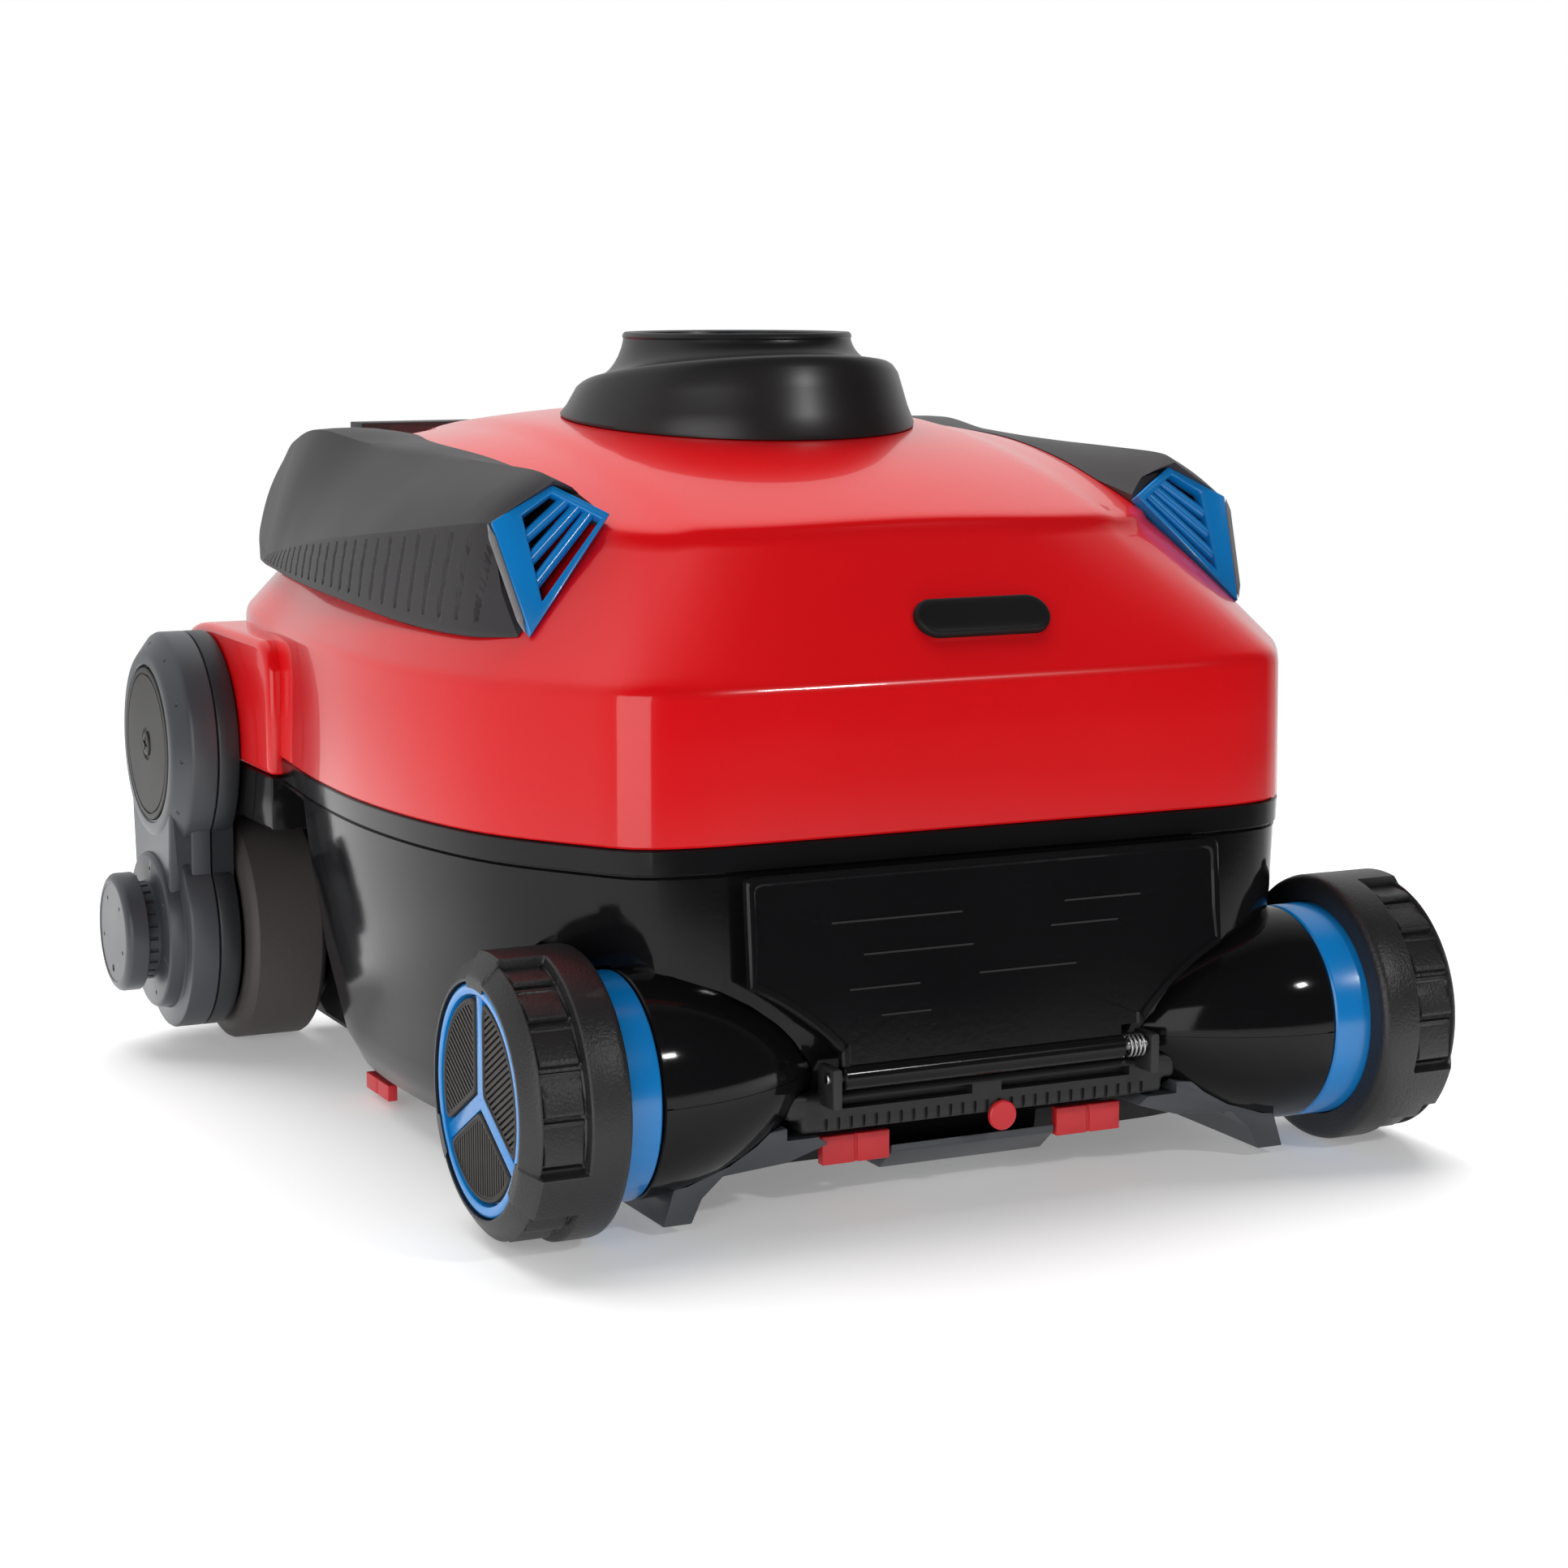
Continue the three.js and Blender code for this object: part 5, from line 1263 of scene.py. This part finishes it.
def build_door():
    thick = .00225
    rings = [door_outline(.0008, -thick), door_outline(0, -thick + .0008), door_outline(0, thick - .0008),
             door_outline(.0008, thick), door_outline(.0026, thick), door_outline(.0034, thick - .0007)]
    door = capped("front_door_moulding", rings)
    ridges = ((-.064, -.012, .0555), (-.052, -.008, .0435), (-.058, -.030, .0315), (-.046, -.026, .0215),
              (.030, .062, .0560), (.024, .052, .0475), (-.006, .034, .0330), (.002, .044, .0220))
    for x0, x1, s in ridges:
        ridge = skin("louvre", [[door_point(x, s + up, out) for up, out in (
            (-.0014, .0008), (-.0010, .0017), (-.0003, .0018), (.0004, .0012), (.0008, .0008))]
            for x in (x0, x0 + .0012, x1 - .0012, x1)])
        combined(door, close_ends(ridge), how="UNION")
    barrel = turned("door barrel", [
        (-HINGE_HALF, .0040), (-.0615, .0046), (.0615, .0046), (HINGE_HALF, .0040)],
        DOOR_Y, DOOR_Z, segments=48)
    combined(door, barrel, how="UNION")
    bore = turned("pin bore", [(-.09, .0023), (.09, .0023)], DOOR_Y, DOOR_Z, segments=32)
    spring_space = block("spring space", (.052, DOOR_Y - .008, DOOR_Z - .008),
                         (.067, DOOR_Y + .008, DOOR_Z + .008))
    combined(door, bore, spring_space)
    return smoothed(door, 32)


def close_ends(piece):
    """Fills the open ends of a sheet that was bent round a bar."""
    choose(piece)
    bpy.ops.object.mode_set(mode="EDIT")
    bpy.ops.mesh.select_all(action="SELECT")
    bpy.ops.mesh.fill_holes(sides=0)
    bpy.ops.mesh.normals_make_consistent(inside=False)
    bpy.ops.object.mode_set(mode="OBJECT")
    return piece


fitted(build_door(), GLOSS_BLACK, "body_black", "door", "front_door")

STEEL = moulding("Stainless steel", (.42, .42, .43), (.62, .62, .62), 0.26,
                 grain=2200, relief=0.12, depth=.0001, marks=0.2, metal=1.0)


def build_spring():
    rings = []
    steps, turns = 160, 4
    for k in range(steps + 1):
        t = k / steps
        a = 2 * math.pi * turns * t
        middle = Vector((.0536 + t * .0071, DOOR_Y + .0041 * math.sin(a), DOOR_Z - .0041 * math.cos(a)))
        out = Vector((0, math.sin(a), -math.cos(a)))
        rings.append([middle + (out * math.cos(b) + Vector((1, 0, 0)) * math.sin(b)) * .0005
                      for b in (2 * math.pi * i / 10 for i in range(10))])
    return smoothed(capped("door_spring_wire", rings), 60)


fitted(build_spring(), STEEL, "steel", "root", "door_spring")
pin = turned("door_hinge_pin_rod", [(-.068, .0016), (-.0676, .0020), (.0676, .0020), (.068, .0016)],
             DOOR_Y, DOOR_Z, segments=32)
fitted(smoothed(pin, 30), STEEL, "steel", "root", "door_hinge_pin")

# ---- Latches and scoops ----
# Red tabs hold the lid, each with a crease that fingers press on. A slate scoop before the lid
# and one under each wheel housing steer dirt towards the intakes.
LATCH_RED = moulding("Satin red plastic", (.66, .008, .018), (.80, .12, .12), 0.30,
                     grain=1200, relief=0.1, depth=.0002, marks=0.2)


def build_front_latch():
    middle, y0, z1 = .0482, FRONT + .0016, .026
    tab = block("front_latch_tab_right", (middle - .0135, y0, z1 - .0106), (middle + .0135, y0 + .004, z1))
    crease = block("crease", (middle - .0006, y0 - .001, z1 - .012), (middle + .0006, y0 + .0009, z1 + .001))
    combined(tab, crease)
    return smoothed(eased(tab, .0007, angle=40, segments=3), 34)


fitted_pair(build_front_latch(), LATCH_RED, "latch_red", "front_latch_right", "front_latch_right")


def build_side_latch():
    x, y, top = LID_HALF + .014, ARCH_FRONT - .022, .010
    tab = block("side_latch_tab_right", (x, y - .0135, top - .0066), (x + .004, y + .0135, top))
    crease = block("crease", (x + .0032, y - .0006, 0), (x + .005, y + .0006, top + .001))
    combined(tab, crease)
    return smoothed(eased(tab, .0006, angle=40, segments=3), 34)


fitted_pair(build_side_latch(), LATCH_RED, "latch_red", "side_latch_right", "side_latch_right")

# A plain round red tag between the latches, on the sill's lower edge.
tag = turned("sill_tag", [(-.0010, .0050), (-.0006, .0055), (.0008, .0055), (.0010, .0050)],
             0, 0, segments=48)
set_round(tag, (.006, DOOR_Y + .0052, .0290), 90, "Z")
fitted(smoothed(tag, 30), LATCH_RED, "latch_red", "root")


def profile_bar(name, profile, along, low, high):
    """A closed profile drawn out along X or Y."""
    def place(a, b, c):
        return Vector((c, a, b)) if along == "X" else Vector((a, c, b))
    rings = [[place(a, b, c) for a, b in profile] for c in (low, high)]
    return close_ends(skin(name, rings))


def build_centre_scoop():
    scoop = profile_bar("centre_scoop_moulding", [
        (FRONT + .002, .020), (FRONT + .011, .0157), (FRONT + .014, .0137), (FRONT + .055, .0137),
        (FRONT + .055, .009), (FRONT + .012, .009), (FRONT + .002, .0172)], "X", -.0338, .0338)
    return smoothed(eased(scoop, .0006, angle=25), 34)


fitted(build_centre_scoop(), SLATE, "arm_dark", "root", "centre_scoop")


def build_side_scoop():
    y0 = FRONT - .008
    scoop = profile_bar("side_scoop_moulding_right", [
        (.064, .026), (.074, .034), (.111, .0305), (.124, .016), (.128, .0035), (.117, .0035),
        (.113, .012), (.105, .019), (.080, .021)], "Y", y0, FRONT + .050)
    eased(scoop, .0006, angle=25)
    below = tub_space()
    housing_space = housing_cutter(.0003)
    lid_space = block("lid space", (-LID_HALF - .0003, FRONT + .0557, 0), (LID_HALF + .0003, .2, .0140))
    sill_space = block("sill space", (-.0803, -.260, .029), (.0803, FRONT + .006, .060))
    combined(scoop, below, housing_space, lid_space, sill_space)
    return smoothed(scoop, 34)


def tub_space():
    rings = [tub_ring(z, -.0003) for z in (.014, .020, .026, .034, .042, .050, .060)]
    rings[0] = at_height(rings[0], .0137)
    return capped("tub space", rings)


fitted_pair(build_side_scoop(), SLATE, "arm_dark", "root", "side_scoop_right")

# ---- Charging port cover ----
# An oblong rubber plug that covers the charging socket in the shell's front slope. Its edge is
# rounded over.
RUBBER = moulding("Matt black rubber", (.0045, .0042, .0045), (.04, .04, .04), 0.50,
                  grain=1500, relief=0.25, depth=.0002, marks=0.15, shine=0.25)
SLOPE_OUT = Vector((0, -.758, .652)).normalized()
SLOPE_UP = Vector((0, .652, .758)).normalized()
PORT = Vector((.010, -.1678, .2068))
PORT_RADIUS, PORT_STRAIGHT = .008, .0195      # round ends, and half of the straight between them


def oblong(grow, out, count=64):
    ring = []
    for k in range(count):
        a = 2 * math.pi * k / count
        side = PORT_STRAIGHT if math.cos(a) > 0 else -PORT_STRAIGHT
        ring.append(PORT + Vector((1, 0, 0)) * (side + (PORT_RADIUS + grow) * math.cos(a))
                    + SLOPE_UP * ((PORT_RADIUS + grow) * math.sin(a)) + SLOPE_OUT * out)
    return ring


rings = [oblong(0, .0002), oblong(0, .0022), oblong(-.0003, .0030), oblong(-.0009, .0036),
         oblong(-.0018, .0039), oblong(-.0040, .0040)]
cover = capped("port_cover_plug", rings)
fitted(smoothed(cover, 40), RUBBER, "rubber_black", "port_cover", "port_cover")

# ---- Inner pieces ----
# What the skins hide: the pump motor, the battery, the controls, the drive motors and gears,
# the axles and the filter basket keep their own shapes and take a finish of their own.
CASE_GREY = moulding("Grey casing", (.15, .16, .17), (.3, .3, .3), 0.45, grain=1200, relief=0.15)
ACETAL = moulding("Natural acetal", (.66, .64, .58), (.8, .78, .72), 0.38, grain=900, relief=0.08)
BASKET = moulding("White mesh", (.68, .70, .72), (.85, .85, .85), 0.5, grain=2400, relief=0.8, depth=.0005)
FINISHES = {"pump_motor": CASE_GREY, "battery_pack": CASE_GREY, "control_box": CASE_GREY,
            "charging_socket": CASE_GREY, "filter_basket": BASKET}
for side in ("_right", "_left"):
    FINISHES["drive_motor" + side] = CASE_GREY
    FINISHES.update({gear + side: ACETAL for gear in ("wheel_gear", "idler_gear", "motor_gear")})
    FINISHES.update({axle + side: STEEL for axle in ("rear_axle", "front_axle")})
for name, finish in FINISHES.items():
    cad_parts[name].data.materials.clear()
    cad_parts[name].data.materials.append(finish)

# ---- Stage ----
# A pale floor that runs out of sight, soft panels above and beside it, and the camera.
bpy.ops.object.select_all(action="DESELECT")
bpy.ops.mesh.primitive_plane_add(size=30, location=(0, 0, 0))
floor = bpy.context.object
floor.name = "studio_floor"
paper = bpy.data.materials.new("Pale paper")
paper.use_nodes = True
sheet = paper.node_tree
coat = sheet.nodes["Principled BSDF"]
for label, value in (("Base Color", (.90, .90, .90, 1)), ("Emission Color", (1, 1, 1, 1)),
                     ("Emission Strength", 0.24), ("Roughness", 0.7), ("Specular IOR Level", 0.2)):
    coat.inputs[label].default_value = value
floor.data.materials.append(paper)
# The paper fades out a little way behind the cleaner.
far = node_in(sheet, "VectorMath", {0: node_in(sheet, "TexCoord").outputs["Object"]}, operation="LENGTH")
fade = node_in(sheet, "MapRange", {"Value": far.outputs["Value"]},
               From_Min=0.55, From_Max=1.5, To_Min=1.0, To_Max=0.0)
fade.interpolation_type = "SMOOTHSTEP"
sheet.links.new(fade.outputs["Result"], coat.inputs["Alpha"])

world = bpy.data.worlds.new("Studio")
bpy.context.scene.world = world
world.use_nodes = True
tree = world.node_tree
tree.nodes.clear()
# The room is pale all round and dim in front, and only the camera sees plain white.
toward = node_in(tree, "VectorMath", {0: node_in(tree, "TexCoord").outputs["Generated"]},
                 operation="DOT_PRODUCT")
toward.inputs[1].default_value = (.20, -.96, .20)
half = node_in(tree, "MapRange", {"Value": toward.outputs["Value"]}, From_Min=-1.0)
shade = node_in(tree, "ValToRGB", {"Fac": half.outputs["Result"]})
stops = ((0.36, (.95, .95, .95, 1)), (0.66, (.050, .050, .052, 1)))
for stop, (place, level) in zip(shade.color_ramp.elements, stops):
    stop.position = place
    stop.color = level
room = node_in(tree, "Background", {"Color": shade.outputs["Color"]}, Strength=0.75)
seen = node_in(tree, "Background", Color=(1, 1, 1, 1), Strength=1.0)
mix = node_in(tree, "MixShader", {"Fac": node_in(tree, "LightPath").outputs["Is Camera Ray"],
                                  1: room.outputs["Background"], 2: seen.outputs["Background"]})
node_in(tree, "OutputWorld", {"Surface": mix.outputs["Shader"]})


def soft_panel(name, place, aim, size, power, mirrored=True):
    light = bpy.data.lights.new(name, "AREA")
    light.shape = "RECTANGLE"
    light.size, light.size_y = size
    light.energy = power
    lamp = bpy.data.objects.new(name, light)
    bpy.context.scene.collection.objects.link(lamp)
    lamp.location = place
    lamp.visible_glossy = mirrored            # the overhead light is too wide to show in the gloss
    lamp.rotation_euler = (Vector(aim) - Vector(place)).to_track_quat("-Z", "Y").to_euler()


soft_panel("overhead panel", (.6, 2.0, 3.0), (.3, .8, .1), (4.4, 3.6), 215, mirrored=False)
soft_panel("left panel", (-.98, -.92, .36), (-.1, -.1, .16), (1.0, .84), 6.5)
soft_panel("front lamp", (.64, -1.39, .99), (0, -.186, .19), (.13, .10), 5.0)

camera = bpy.data.cameras.new("Camera")
camera.lens = 76.74
camera.sensor_width = 36
eye = bpy.data.objects.new("Camera", camera)
bpy.context.scene.collection.objects.link(eye)
eye.location = (-.5752, -1.2226, .3316)
eye.rotation_euler = Vector((.4277, .8911, -.1521)).to_track_quat("-Z", "Y").to_euler()
bpy.context.scene.camera = eye
bpy.context.scene.view_settings.view_transform = "Standard"
